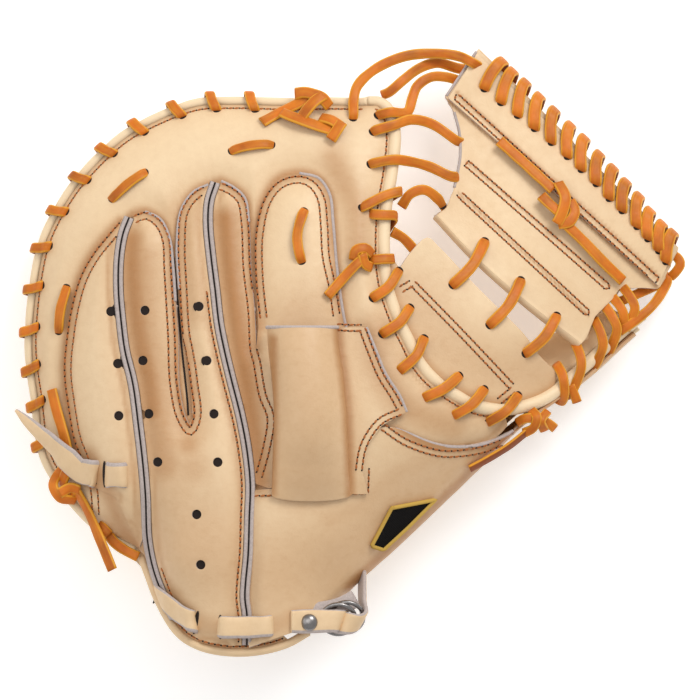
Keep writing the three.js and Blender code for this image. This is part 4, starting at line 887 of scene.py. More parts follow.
# Body. A row of the palm: rim x, y, z, crotch roll x, y, z, foot's width and height, cheek x, y, z
PALM_SECTIONS = [
    [4, 124.9, 40.3, 22, 116, 46, 8, 20, 13, 113, 34],
    [-20, 124.9, 38, 22, 104, 49.5, 14, 7, 6, 104, 30],
    [-66, 125, 35.5, 20, 84, 55.5, 20, 1, -15, 94, 26],
    [-107, 112, 34.2, 18, 66, 61, 26, 0, -35, 78, 26],
    [-144, 74.5, 34, 17, 50, 65, 29, 0, -45, 58, 27],
    [-160, 12, 34, 19, 31, 67.5, 30, 0, -50, 25, 27],
    [-153.6, -51, 37, 25, 14, 69.5, 30, 0, -45, -15, 27],
    [-127, -87, 43, 30.5, 3, 70, 27, 0, -35, -35, 27],
    [-96, -121, 31, 36, -7, 69.5, 24, 0, -20, -50, 27],
    [-56, -143, 28, 43, -15, 68.5, 24, 0, -5, -60, 27],
    [-14, -127, 29, 53, -22, 66, 22, 0, 14, -60, 27],
    [27, -92.5, 21, 65, -27.6, 61, 18, 0, 40, -48, 27],
    [58, -63, 15.5, 79, -29, 54.5, 16, 0, 58, -30, 26],
    [84, -37, 14, 96, -24, 46, 13, 0, 72, -13, 24],
    [116, -11.5, 14, 118, -7.5, 36, 11, 0.5, 101, 8, 20],
    [142, 10.5, 16.5, 143, 15, 30, 7, 4, 131, 22, 20],
]
# A row of the thumb leather: inner x, y, outer x, y, height of its foot, how far the foot is tucked in
THUMB_SECTIONS = [
    [-50, -147, -24.5, -138.4, 71, 0], [-51, -128, -8, -126.5, 50, 1], [-49.8, -104, 8, -111.5, 33, 2],
    [-48.8, -76, 22, -99, 27, 2.5], [-10, -73.5, 36, -86, 22.8, 3], [9, -69, 47, -75.6, 20.4, 3],
    [13, -50, 55, -68, 19.2, 3], [24, -36.5, 60.5, -62.5, 18.6, 3], [36, -44.5, 66, -57.5, 18.2, 3],
    [51, -48, 72, -51.5, 17.8, 3], [66, -46.5, 78, -45, 17.6, 3], [80, -41, 85, -38.6, 17.6, 2.6],
    [92, -31, 94, -31.4, 17.6, 2.2], [103, -24, 104, -24.6, 17.6, 2], [112.5, -17, 113.5, -18, 17.6, 1.8],
    [122.5, -9, 123.5, -10, 17.6, 1.6], [137, 4.4, 138, 3.4, 18.6, 1.4],
    [142.6, 9.4, 143.6, 8.4, 20.2, 1.2],
]
# A row of the hood: y, left edge, crease, edge of the flap, height of the arch
HOOD_SECTIONS = [
    [12, -41, -6, 8.5, 19], [1, -40.4, -5, 13, 21], [-11, -39, -3, 18, 21.5], [-22, -38, -2, 25, 21],
    [-30, -37.6, -1.2, 28.5, 20], [-37, -37.6, -1, 16, 18.5], [-47, -38, -0.5, 9, 15],
    [-60, -38.4, 0, 6.5, 8], [-71, -38.6, 0.5, 9.5, 0.5],
]
PALM_THICKNESS = [2.3, 2.6, 6, 9, 9, 8, 7, 6, 5, 3.5]
# Rows of each lofted sheet, then points across each of its parts
PALM_GRID = (170, 44)
THUMB_GRID = (171, 46)
HOOD_GRID = (81, 34, 16)
WEB_GRID = (150, 70, 13)


def smooth_table(rows, count):
    """Rows of a table, eased from one to the next."""
    rows = np.array(rows, float)
    last = len(rows) - 1
    result = []
    for spot in spread(0, last, count):
        i = min(int(spot), last - 1)
        t = spot - i
        a, b, c, d = (rows[max(0, min(last, k))] for k in (i - 1, i, i + 1, i + 2))
        result.append(b + 0.5 * t * (c - a + t * (2 * a - 5 * b + 4 * c - d + t * (3 * (b - c) + d - a))))
    return np.array(result)


def unit(vector):
    return vector / max(np.linalg.norm(vector), 1e-9)


def palm_curve(section, inward):
    """Places down from the rim, under the palm and up over its cheek to the crotch roll."""
    rim, roll, cheek = section[:3], section[3:6], section[8:]
    foot, foot_z = section[6:8]
    reach = min(1, foot / 24)

    def inset(distance, z):
        return np.append((rim + inward * distance)[:2], z)

    edge = roll - unit((roll - cheek) * (1, 1, 0)) * (CROTCH_ROLL + 1)
    edge[2] = roll[2] - 3.8
    halfway = lerp(cheek, edge, 0.55)
    halfway[2] = lerp(cheek[2], edge[2], 0.5)
    return Path([
        inset(RIM_ROLL + 5 * GAP, rim[2] - 2.8),
        inset(3 + 6.5 * reach, rim[2] - 3.2),
        inset(3 + 8.5 * reach, foot_z + (rim[2] - foot_z) * 0.5),
        inset(foot * 0.75, foot_z + 0.6),
        inset(foot * 1.15, foot_z),
        inset(foot * 1.6, foot_z + 1.6),
        cheek,
        halfway,
        edge,
    ])


def make_palm():
    count, across = PALM_GRID
    sections = smooth_table(PALM_SECTIONS, count)
    shares = spread(0, 1, across)
    padding = np.interp(shares, spread(0, 1, len(PALM_THICKNESS)), PALM_THICKNESS)
    rows = []
    for i, section in enumerate(sections):
        after = sections[min(i + 1, len(sections) - 1)]
        before = sections[max(i - 1, 0)]
        inward = unit(np.array([before[1] - after[1], after[0] - before[0], 0]))
        line = palm_curve(section, inward).by_place(shares * 8)
        way = units(np.gradient(line, axis=0))
        normal = units(np.stack([-way[:, 2] * inward[0], -way[:, 2] * inward[1], way @ inward], 1))
        normal[0] = (0, 0, 1)
        thick = padding * min(1, 0.35 + section[6] / 34)
        hand = line + normal * thick[:, None]
        line[:, 2] *= np.clip((line[:, 2] - 0.4) / 1.8, 0, 1)
        rows.append(np.vstack([line, hand[::-1], line[:1]]))
    bm = loft(np.array(rows), wrap=True, caps=True)
    colour_round(bm, lambda share: share > 0.51)
    piece = finish_piece("palm", bm, ["tan", "inner"], ["palm_shell"])


# Lines of painted shade on the leather, darker where less light falls: strength, reach and the run in plan
PAINTED_SHADES = [
    (0.95, 9, [[-109, 56], [-108, 36], [-105, 10], [-100, -14], [-98, -30]]),
    (0.72, 13, [[-106, 46], [-103, 10], [-97, -30], [-93, -56]]),
    (0.38, 24, [[-100, 34], [-94, -20], [-88, -76]]),
    (1.0, 9, [[-62, 66], [-59, 36], [-55, 8], [-50, -26], [-45, -64]]),
    (0.7, 9, [[-82, -36], [-80.6, -46]]),
    (0.5, 14, [[-81, -40], [-79, -58]]),
    (0.5, 12, [[-84, 66], [-80, 40], [-78, 20]]),
    (0.42, 34, [[-78, -92], [-50, -112], [-10, -104], [26, -80], [60, -56]]),
    (0.42, 26, [[-22, 14], [-20, -20], [-20, -64]]),
    (0.4, 20, [[34, 26], [48, 4], [70, -8], [92, -12]]),
    (0.5, 9, [[-92, -118], [-80, -132], [-60, -138], [-40, -137], [-24, -130]]),
    (0.7, 5, [[-130, -52], [-122, -66], [-115, -84], [-107, -97]]),
    (0.6, 8, [[-8, 96], [3, 70], [4, 50]]),
    (0.6, 11, [[12, 10], [16, -10], [30, -28], [52, -38]]),
    (0.42, 10, [[-10, -84], [6, -78], [24, -62], [44, -54]]),
    (0.34, 12, [[0, -112], [28, -92], [58, -62]]),
]
CREASE = [[-6, 12], [-5, 1], [-3, -11], [-2, -22], [-1.2, -30], [-1, -37], [-0.5, -47], [0, -60], [0.5, -71]]


def painted_light_marks(plan, lines, reach=2.8):
    """How much painted shade the leather takes along some lines and beside its held lines, and how much
    painted highlight on its crowns.
    """
    x, y = plan.T
    painted_shade = np.zeros(len(plan))
    for strength, spread_out, run in PAINTED_SHADES:
        painted_shade = np.maximum(painted_shade, strength * np.exp(-(distance_to([run_of(run)], x, y) / spread_out) ** 2))
    held = distance_to(lines, x, y)
    painted_highlight = np.minimum(1 - painted_shade, 1 - np.exp(-(held / 12) ** 2))
    return {"painted_shade": np.maximum(painted_shade, 0.9 * np.exp(-(held / reach) ** 2)), "painted_highlight": painted_highlight}


# Painted shade beside the seams and other held lines, and painted highlight between them
def seam_painted_light(plan):
    return painted_light_marks(plan, HELD_LINES)


VENT_RADIUS = 2.4
VENTS = [
    [-119, 20], [-102, 20.5], [-75, 22.5], [-115.5, -6], [-103, -4.5], [-71, -4.5], [-115, -32],
    [-100, -31], [-67.5, -31], [-95.5, -55], [-65.5, -55], [-76, -81], [-74, -106],
]


def back_outline():
    return outline_of(
        beside(FINGER_RIM, RIM_ROLL - 0.5),
        beside(HEEL_EDGE[:10], BINDING_ROLL - 0.5),
        [[-40, -136], [-42, -78], [-6, -66], [4, -50], [22, -34], [34, -20]],
        beside(CROTCH_RIM[1:14], -(CROTCH_ROLL - 0.8))[::-1],
    )


def make_back():
    bm = flat_sheet(back_outline(), size_of("sheet_pitch"))
    drape(bm, lambda x, y: back_height(x, y) + LEATHER)
    finish_sheet("finger_back", bm, "back_shell", seam_painted_light(plan_of(bm)))


def little_outline():
    return outline_of(
        beside(SEAM_LITTLE[:11], -(WELT_HALF + GAP))[::-1], run_of(LITTLE_LEFT),
        [[-116, -73], [-110, -87], [-105, -98]])


def ring_middle_outline():
    return outline_of(
        beside(SEAM_LITTLE, WELT_HALF + GAP), beside(HEEL_EDGE[5:7], BINDING_ROLL + 2 * GAP),
        beside(SEAM_MIDDLE, -(WELT_HALF + GAP))[::-1], run_of(MIDDLE_TIP)[::-1], run_of(RING_TIP)[::-1])


def index_outline():
    return outline_of(
        beside(SEAM_MIDDLE[:11], WELT_HALF + GAP), [[-40, -68], [0, -62]],
        run_of(INDEX_STALL)[::-1], run_of(INDEX_EDGE)[::-1])


def lining_outline():
    return outline_of(
        beside(CROTCH_RIM[9:17], -(CROTCH_ROLL - 0.8)),
        run_of([[79, -37], [75, -41.5], [66, -47], [50, -49.5], [34, -46.5], [22, -39.5]]),
        [[8, -30], [10, 0], [13, 20]])


def edge_gap(outlines, x, y):
    return distance_to([np.vstack([outline, outline[:1]]) for outline in outlines], x, y)


def pressed(gap):
    """How far a panel is pressed down by the stitches beside its edge."""
    return 0.6 * np.exp(-((gap - 2.8) / 1.7) ** 2)


def back_top(x, y):
    """The outer face of the finger back, or of the panel sewn over it."""
    stalls = (little_outline(), ring_middle_outline(), index_outline())
    covered = np.any([inside(stall, x, y) for stall in stalls], axis=0)
    return back_height(x, y) + LEATHER + np.where(covered, OVERLAY_LIFT - pressed(edge_gap(stalls, x, y)), 0)


def web_top(x, y):
    return web_height(x, y) + LEATHER + np.where(inside(np.array(TOP_BAND, float), x, y), BAND_LIFT, 0)


def base_top(x, y):
    return base_height(x, y) + LEATHER


def thumb_top(x, y):
    """The outer face of the thumb leather, which tucks in under the middle welt."""
    away = np.clip((np.asarray(x, float) + 50.5) / 9, 0, 1)
    eased = away * away * (3 - 2 * away)
    return lerp(back_height(x, y) + OVERLAY_LIFT + 0.8, cover_height(x, y) + THUMB_LIFT + LEATHER, eased)


def flap_top(x, y):
    return cover_height(x, y) + HOOD_LIFT + LEATHER


def stall_top(x, y):
    return back_height(x, y) + OVERLAY_LIFT + LEATHER


SHEET_TOPS = {1: back_top, 2: web_top, 3: base_top}


def frame_on(top, x, y, lift, ahead=(1, 0)):
    """A placing on a surface: X along a direction in plan, Z out of the surface."""
    levels = top(np.array([x, x + 1, x]), np.array([y, y, y + 1]))
    normal = Vector((levels[0] - levels[1], levels[0] - levels[2], 1)).normalized()
    way = Vector((ahead[0], ahead[1], 0))
    way = (way - normal * way.dot(normal)).normalized()
    turn = Matrix((way, normal.cross(way), normal)).transposed().to_4x4()
    return Matrix.Translation(Vector((x, y, levels[0])) + normal * lift) @ turn


def overlay(name, outline, node, lift=OVERLAY_LIFT, sinks=0.0):
    """A panel over the back, pressed down along its edge and, if asked, sinking in at its upper end."""
    bm = flat_sheet(outline, size_of("sheet_pitch"))
    vents = np.array(VENTS)
    punch(bm, vents[inside(outline, *vents.T)], VENT_RADIUS)
    plan = plan_of(bm)
    x, y = plan.T
    edge = edge_gap([outline], x, y)
    sink = sinks * np.clip((y + 8) / 20, 0, 1)
    for vert, level in zip(bm.verts, back_height(x, y) + lift + LEATHER - pressed(edge) - sink):
        vert.co.z = level
    marks = seam_painted_light(plan)
    # Painted shade in the pressed groove just inside the panel's edge
    marks["painted_shade"] = np.maximum(marks["painted_shade"], 0.6 * np.exp(-((edge - 2.4) / 1.8) ** 2))
    finish_sheet(name, bm, node, marks, round_edge=0.45, lined=False)


def make_stalls():
    overlay("little_finger_stall", little_outline(), "little_finger_panel")
    overlay("ring_and_middle_stall", ring_middle_outline(), "ring_middle_panel")
    overlay("index_stall", index_outline(), "index_panel")
    overlay("crotch_lining_leather", lining_outline(), "crotch_lining", lift=0.5, sinks=1.8)


def make_vents():
    """Dark discs of painted shade inside the cooling holes."""
    bm = bmesh.new()
    for x, y in VENTS:
        bmesh.ops.create_circle(
            bm, cap_ends=True, segments=20, radius=VENT_RADIUS + 0.4, matrix=frame_on(stall_top, x, y, -0.8))
    finish_piece("vent_shade_discs", bm, ["hole"])


WELT_PROFILE = [
    (-2.4, 0), (-2.45, 1.6), (-2.2, 2.6), (-1.7, 3.1), (-1.0, 3.0), (-0.45, 2.6), (0, 1.9), (0.45, 2.6),
    (1.0, 3.0), (1.7, 3.1), (2.2, 2.6), (2.45, 1.6), (2.4, 0), (-2.4, 0),
]


def make_welts():
    for name, seam in (("seam_welt_little", SEAM_LITTLE[:14]), ("seam_welt_middle", SEAM_MIDDLE)):
        path = Path(seam)
        shares = spread(0, 1, int(path.length / 1.4))
        middles = path.at(shares)
        way = path.along(shares)
        rows = []
        for across, rise in WELT_PROFILE:
            x = middles[:, 0] + way[:, 1] * across
            y = middles[:, 1] - way[:, 0] * across
            rows.append(np.stack([x, y, back_height(x, y) + OVERLAY_LIFT + rise], 1))
        bm = loft(np.stack(rows, 1), wrap=True, caps=True)
        # The groove down the middle of the welt takes painted shade
        colour_round(bm, lambda share: abs(share - 6 / 13) < 0.05)
        finish_piece(name + "_edges", bm, ["suede", "hole"], [name])


def roll_height(x):
    """Height of the crotch roll beside the upper thumb, where the back has run out."""
    if x < 86:
        return math.inf
    return crotch_path.points[np.abs(crotch_path.points[:, 0] - x).argmin(), 2] - 4


# Rows of the thumb leather whose inner edge is tucked under the index cover
THUMB_TUCKED = {3: (-48.6, -69), 4: (-12, -66), 5: (0, -64), 6: (4, -50), 7: (15, -33)}
# Places in its table: where the tuck ends, its joint is eased, the side turns and the top gets level
TUCK_END = 8
TUCK_JOINT = (6.6, 9.6)
SIDE_TURN = 8.5
LEVEL_START = 11
SIDE_WAY = np.array([0.72, -0.69])
THUMB_SEAM = [[24, -36.5], [36, -44.5], [51, -48], [66, -46.5]]


def thumb_rows(count, columns):
    """Runs across the thumb leather, from its inner edge over the top and down its side."""
    rows = []
    places = spread(0, len(THUMB_SECTIONS) - 1, count)
    sections = smooth_table(THUMB_SECTIONS, count)
    tucked = np.array([THUMB_TUCKED.get(i, row[:2]) for i, row in enumerate(THUMB_SECTIONS)], float)
    inners = between(places, np.arange(len(tucked)), tucked)
    open_edge = places >= TUCK_END
    inners[open_edge] = sections[open_edge, :2]
    eased = np.array([inners[max(0, i - 6):i + 7].mean(0) for i in range(count)])
    joint = (places > TUCK_JOINT[0]) & (places < TUCK_JOINT[1])
    inners[joint] = eased[joint]
    for spot, section, inner in zip(places, sections, inners):
        outer = section[2:4]
        foot_z, tuck = section[4:6]
        plan = outer - inner
        turned = max(0, spot - SIDE_TURN)
        outward = SIDE_WAY if turned > 1 else unit(lerp(unit(plan), SIDE_WAY, turned))
        top = min(float(cover_height(outer[0], outer[1])), roll_height(outer[0])) + THUMB_LIFT
        line = []
        for t in (0, 0.06, 0.13, 0.22, 0.33, 0.45, 0.6, 0.75, 0.88):
            x, y = inner + plan * t
            level = 0 if spot > LEVEL_START else float(thumb_top(x, y))
            line.append([x, y, max(level, top + LEATHER)])
        for push, drop in ((0, 0.12), (0.6, 0.45), (0.1, 0.8), (-tuck, 1)):
            x, y = outer + outward * push
            line.append([x, y, lerp(top, foot_z, drop)])
        rows.append(Path(line).at(spread(0, 1, columns)))
    return np.array(rows)


def make_thumb():
    bm = loft(thumb_rows(*THUMB_GRID))
    face_up(bm)
    marks = painted_light_marks(plan_of(bm), [run_of(THUMB_RIM), run_of(THUMB_SEAM)], 4)
    finish_sheet("thumb_leather", bm, "thumb_panel", marks, round_edge=0.45)


def hood_point(row, t):
    """A place on the hood: 0 to 1 over its half tube, 1 to 2 over its flap."""
    y, left, crease, flap, arch = row
    if t <= 1:
        x = (left + crease) / 2 - (crease - left) / 2 * math.cos(math.pi * t)
        rise = arch * math.sin(math.pi * t) ** 0.85
    else:
        x = lerp(crease, flap, t - 1)
        rise = 0
    return x, y, rise


def make_hood():
    count, over_arch, over_flap = HOOD_GRID
    sections = smooth_table(HOOD_SECTIONS, count)
    flaps = np.array(HOOD_SECTIONS, float)[:, 3]
    sections[:, 3] = np.interp(spread(0, len(flaps) - 1, count), np.arange(len(flaps)), flaps)
    shares = np.concatenate([spread(0, 1, over_arch), spread(1.07, 2, over_flap)])
    rows = []
    for row in sections:
        x, y, rise = np.array([hood_point(row, t) for t in shares]).T
        y = y - 3.4 * np.clip((-56 - y) / 15, 0, 1) * np.clip(1 - ((x + 19) / 20) ** 2, 0, 1) ** 0.5
        rows.append(np.stack([x, y, flap_top(x, y) + rise], 1))
    bm = loft(np.array(rows))
    face_up(bm)
    lines = [run_of(CREASE), run_of([[-38, 6], [-38, -30], [-38.5, -70]])]
    finish_sheet("index_cover", bm, "index_hood", painted_light_marks(plan_of(bm), lines, 3.6), round_edge=0.45)


# Rolled edges
RIM_TURNS = [
    [-49, 126], [-68, 124], [-87, 122], [-106, 113], [-122, 101], [-136, 88], [-147, 71], [-155, 52],
    [-159, 32], [-160, 11], [-159, -8], [-156, -26], [-155, -46],
]
CROTCH_TURNS = [
    [10.5, 25.5, 25.5, 41], [15, 7.5, 31, 22.5], [24, -11, 38, 7.5], [36, -24, 56, -11.5],
    [51, -33, 68.5, -18], [68, -36.5, 85.5, -21],
]


def pinched(spots, depth=0.1, reach=4.0, start=1.0):
    """A roll's girth along its length, pinched under each lace and, if asked, thinner where it starts."""
    spots = np.array(spots, float)[:, :2]

    def girth(middles):
        gap = distance_to([spots], middles[:, 0], middles[:, 1])
        begun = np.linalg.norm(middles - middles[0], axis=1) / 22
        return (1.04 - depth * np.exp(-(gap / reach) ** 2)) * lerp(start, 1, np.clip(begun, 0, 1))
    return girth


def make_rolls():
    crotch_spots = [((a + c) / 2, (b + d) / 2) for a, b, c, d in CROTCH_TURNS]
    rolls = (
        ("finger_rim", "finger_rim_roll", "cream", Path(CROTCH_RIM[:1] + FINGER_RIM), RIM_ROLL,
         pinched(RIM_TURNS)),
        ("crotch_rim", "crotch_rim_roll", "cream", crotch_path, CROTCH_ROLL,
         pinched(crotch_spots, start=0.76)),
        ("thumb_rim", "thumb_rim_roll", "cream", thumb_path, RIM_ROLL, None),
        ("wrist_binding", "heel_binding", "tan", heel_path, BINDING_ROLL, None),
    )
    for name, node, look, path, radius, wobble in rolls:
        finish_piece(name, tube(path, radius, wobble=wobble), [look], [node])


# Web
WEB_PITCH = 1.8
WEB_OUTLINE = [
    [64.5, 151.6], [114, 102.5], [165, 52], [155.5, 31.5], [146.5, 32], [135.5, 31.5], [131.5, 26],
    [123, 17.5], [118.5, 6.5], [112, 0], [93, 13], [76, 27], [58, 43.5], [40, 62], [42, 67], [48.5, 72],
    [52.5, 82], [55.5, 98], [55, 110], [52.5, 120], [48, 128],
]
WEB_SEAMS = [
    [[49.5, 125.5], [102, 80], [155, 32]], [[59, 95], [95, 64], [130, 33]], [[55, 79], [90, 47], [119.5, 18]],
]
WEB_FOLD = [[34, 74], [42, 66], [60, 46.5], [78, 30], [95, 16], [112, 3], [126, -9]]
WEB_TOP_LINE = [[46, 172], [62, 156], [82, 136.5], [102, 116.5], [124, 95], [148, 71], [182, 38]]
TOP_BAND = [[64, 149.4], [114, 100.2], [163, 51.2], [155, 33], [102, 81], [49.5, 127]]
BASE_TOP = [
    [103, -16], [104, -11], [95, -2], [87, 9], [73, 23], [62, 34], [45, 52], [39, 57], [31, 50], [25, 41.5],
]


def make_web_sheet():
    """The folded sheet of the web: its upper layer, the fold and its lower layer."""
    count, across, round_fold = WEB_GRID
    rows = []
    for fold, top in zip(smooth_table(WEB_FOLD, count), smooth_table(WEB_TOP_LINE, count)):
        out = unit(fold - top) * FOLD_RADIUS
        middle = place(web_height, fold[0], fold[1], LEATHER - FOLD_RADIUS)
        middle[:2] -= out

        def layer(shares, below):
            x = lerp(top[0], middle[0], shares)
            y = lerp(top[1], middle[1], shares)
            gap = lerp(LEATHER * 2 + GAP, FOLD_RADIUS * 2, shares ** 2)
            return np.stack([x, y, web_height(x, y) + LEATHER - (gap if below else 0)], 1)

        shares = spread(0, 1, across)
        turns = np.radians(spread(80, -80, round_fold))
        bend = np.stack([
            middle[0] + out[0] * np.cos(turns), middle[1] + out[1] * np.cos(turns),
            middle[2] + FOLD_RADIUS * np.sin(turns)], 1)
        rows.append(np.vstack([layer(shares, False), bend, layer(shares[::-1], True)]))
    bm = loft(np.array(rows))
    trim(bm, np.array(WEB_OUTLINE, float), reach=2.2)
    bm.normal_update()
    top_face = max(bm.faces, key=lambda face: face.calc_center_median().z)
    if top_face.normal.z < 0:
        bmesh.ops.reverse_faces(bm, faces=bm.faces[:])
    seams = [run_of(seam) for seam in WEB_SEAMS]
    finish_sheet("web_leather", bm, "web_panel", painted_light_marks(plan_of(bm), seams, 0.7), round_edge=0.4)


def make_web_band():
    band = flat_sheet(np.array(TOP_BAND, float), WEB_PITCH)
    drape(band, lambda x, y: web_height(x, y) + BAND_LIFT + LEATHER)
    seams = [run_of([[54, 129], [105, 83], [155, 37]]), np.array(WEB_TURNS, float)[:, :2]]
    finish_sheet("web_band", band, "web_top_band", painted_light_marks(plan_of(band), seams, 1.2), lined=False)


def make_web_base():
    outline = outline_of(BASE_TOP[:2], run_of(BASE_TOP[2:]), beside(CROTCH_RIM[7:19], CROTCH_ROLL - 0.8))
    base = flat_sheet(outline, WEB_PITCH)
    drape(base, base_top)
    finish_sheet("web_base", base, "web_base_panel", painted_light_marks(plan_of(base), [run_of(CROTCH_RIM)], 6.5))


# Laces. A turn over the web's top edge: its hole x, y, and where it crosses the edge x, y
WEB_TURNS = [
    [67.5, 131, 76, 146.5], [76, 124, 81, 141.5], [84.5, 117.5, 87.5, 136], [93, 111, 94.5, 129],
    [101.5, 104, 102, 122], [109.5, 97, 110, 114.5], [116.5, 90.5, 117, 108], [124, 83.5, 124.5, 100],
    [130.5, 76, 131.5, 93], [137, 70, 138, 86], [144.5, 62, 144.5, 79], [150, 56, 150, 71.5],
    [155.5, 50, 156, 65], [159, 44.5, 161.5, 60.5],
]
BRIDGE_TURNS = [[68.5, 57, 50, 32], [86.5, 37.5, 68.5, 12], [104.5, 19.5, 86.5, -2]]
# A turn over the thumb end of the crotch roll: web side x, y, top x, y, thumb side x, y, height of the roll
THUMB_TURNS = [
    [104.2, -7.2, 107.4, -16.4, 106.4, -25, 40], [113.6, 3, 116, -8.2, 109.6, -22, 38.5],
    [123, 15.5, 127, 3.4, 121.6, -8.6, 34], [127.4, 23.6, 134, 11.6, 129, -1.2, 32],
    [131.6, 27.5, 137.4, 18.6, 135.6, 8.6, 31], [137.6, 31.6, 143, 21.8, 137, 9.4, 31],
]
# A turn round the finger rim: inset from the rim, rise, how far ahead, share of the width, 1 at its hole
RIM_WHIP = [
    (1, -6.4, 1, 1, 0), (-3.8, -2.4, 1.8, 1, 0), (-3.8, 2.4, 1.4, 1, 0), (0.1, 4.7, 0.3, 1, 0),
    (3.2, 4.3, -1.2, 1, 1), (4.9, -3.0, -1.9, 0.7, 1),
]
ABOVE = LEATHER + GAP + 0.9 + 0.7
BELOW = -3.8
KNOT = ABOVE + 0.3
LACE_HOLE_SHADE = (1.7, 2.2, 0.2)
LACE_ENTRIES = []


def note_holes(route):
    """Keeps the runs of a lace that go through a sheet, each from its open end to its hidden end."""
    points = np.array(route, float)
    path = Path(points[:, :3])
    for i, sheet in enumerate(points[:, 4]):
        for j in (i - 1, i + 1):
            if sheet and 0 <= j < len(points) and not points[j, 4]:
                LACE_ENTRIES.append((int(sheet), path.by_place(spread(j, i, 30))))


def make_lace_hole_shadows():
    """Dark patches of painted shadow where the laces go into the sheets through their slits."""
    bm = bmesh.new()
    for sheet, top in SHEET_TOPS.items():
        runs = [run for number, run in LACE_ENTRIES if number == sheet]
        marks = np.vstack(runs)
        levels = top(marks[:, 0], marks[:, 1]).reshape(len(runs), -1)
        for run, level in zip(runs, levels):
            sunk = np.nonzero(run[:, 2] < level + 0.5)[0]
            spot = run[sunk[0]] if len(sunk) else run[-1]
            way = unit(run[-1, :2] - run[0, :2])
            x, y = spot[:2] + way * 0.5
            add_ball(bm, frame_on(top, x, y, 0.02, way), LACE_HOLE_SHADE, 18, 6)
    finish_piece("lace_holes", bm, ["hole"])


def lace(name, node, routes, sides=None, own_sides=None, **look):
    """A leather lace along one or more routes, its sideways directions given for all or for some of them."""
    look = {"width": size_of("lace_width"), "thick": size_of("lace_thick")} | look
    parts = []
    for i, route in enumerate(routes):
        note_holes(route)
        parts.append(strip(route, seed=7 * i + len(name), sides=(own_sides or {}).get(i, sides), **look))
    bm = gather(*parts) if len(parts) > 1 else parts[0]
    finish_piece(name, bm, ["lace"], [node])


def flat_sides(pairs):
    """Sideways directions that lie level. The last one holds to the strip's end."""
    return [(x, y, 0) for x, y in pairs]


def rim_whip():
    """The route of the whip lace over the finger rim, with its sideways directions."""
    points = []
    sides = []
    for x, y in RIM_TURNS:
        share = finger_path.nearest(x, y)
        along = unit(finger_path.along(share) * (1, 1, 0))
        inward = np.array([-along[1], along[0], 0])
        middle = finger_path.at(share)
        for inset, rise, ahead, wide, sheet in RIM_WHIP:
            spot = middle + inward * inset + along * ahead
            level = float(back_height(spot[0], spot[1])) if sheet else middle[2]
            points.append([spot[0], spot[1], level + rise, wide, int(wide < 1)])
            sides.append(-along)
    return points, sides


def crotch_wraps():
    """One route for each turn over the crotch roll, from the hand's hole to the web's."""
    routes = []
    for hand_x, hand_y, web_x, web_y in CROTCH_TURNS:
        share = crotch_path.nearest((hand_x + web_x) / 2, (hand_y + web_y) / 2)
        top = crotch_path.at(share)
        low = lerp(top, np.array([hand_x, hand_y, 0]), 0.78)
        high = lerp(top, np.array([web_x, web_y, 0]), 0.8)
        bend = unit(np.array([high[1] - low[1], low[0] - high[0]])) * 1.3
        rise = CROTCH_ROLL + GAP + 1.6 + 2.2 * abs(crotch_path.along(share)[2])
        routes.append([
            on_back(hand_x, hand_y, -3.5),
            on_back(low[0], low[1], LEATHER + 1.6),
            at(top[0] + bend[0], top[1] + bend[1], top[2] + rise),
            on_base(high[0], high[1], LEATHER + 1.6),
            on_base(web_x, web_y, -3),
        ])
    return routes


def web_wraps():
    """One route for each turn over the web's top edge, from its hole on the outside to the inside."""
    routes = []
    for hole_x, hole_y, edge_x, edge_y in WEB_TURNS:
        level = float(web_height(edge_x, edge_y))

        def mix(t, bend=0.0):
            return lerp(hole_x, edge_x, t) - bend, lerp(hole_y, edge_y, t) + bend * 0.4

        routes.append([
            on_web(hole_x + 0.6, hole_y - 0.6, -1),
            on_web(*mix(0.1, 0.5), BAND_LIFT + LEATHER + 1.5),
            on_web(*mix(0.5, 0.9), BAND_LIFT + LEATHER + 2.1),
            on_web(*mix(0.88), BAND_LIFT + LEATHER + 1.3),
            at(edge_x + 1.6, edge_y - 0.6, level + 1.2),
            at(edge_x + 0.8, edge_y - 3.4, level - 5.6),
            at(edge_x - 1.2, edge_y - 8, level - 7.2),
        ])
    return routes


def bridges():
    """One route for each lace across the gap between the web and its base."""
    routes = []
    for web_x, web_y, base_x, base_y in BRIDGE_TURNS:
        level = float(web_height(web_x, web_y) + base_height(base_x, base_y)) / 2

        def mix(t, bend):
            return lerp(web_x, base_x, t) + bend, lerp(web_y, base_y, t) - bend

        routes.append([
            on_web(web_x - 0.5, web_y - 0.5, -1.5),
            on_web(*mix(0.1, 0.5), LEATHER + 1.9),
            at(*mix(0.5, 1.8), level + LEATHER + 3.6),
            on_base(*mix(0.9, 0.5), LEATHER + 1.7),
            on_base(base_x, base_y, -3),
        ])
    return routes


def make_whip_laces():
    points, sides = rim_whip()
    end = [at(-121.4, -90.6, 49), at(-117.6, -95.4, 51), at(-112, -99.4, 53), at(-105.6, -102.6, 54.4)]
    stub = [at(-125.4, -86.6, 49.6), at(-122.8, -88.8, 51.6), at(-120.2, -91.6, 51.4)]
    lace("rim_lacing", "rim_lace", [points, end, stub], own_sides={0: sides})
    lace("crotch_lacing", "crotch_lace", crotch_wraps(), width=5.4)
    turns = [(-0.92, 0.4), (-0.94, 0.34), (-0.9, 0.43), (-0.8, 0.6), (-0.72, 0.7)]
    lace("web_top_lacing", "web_top_lace", web_wraps(), sides=flat_sides(turns), width=6.2)
    lace("web_bridge_lacing", "web_bridge_lace", bridges(), width=5.8)


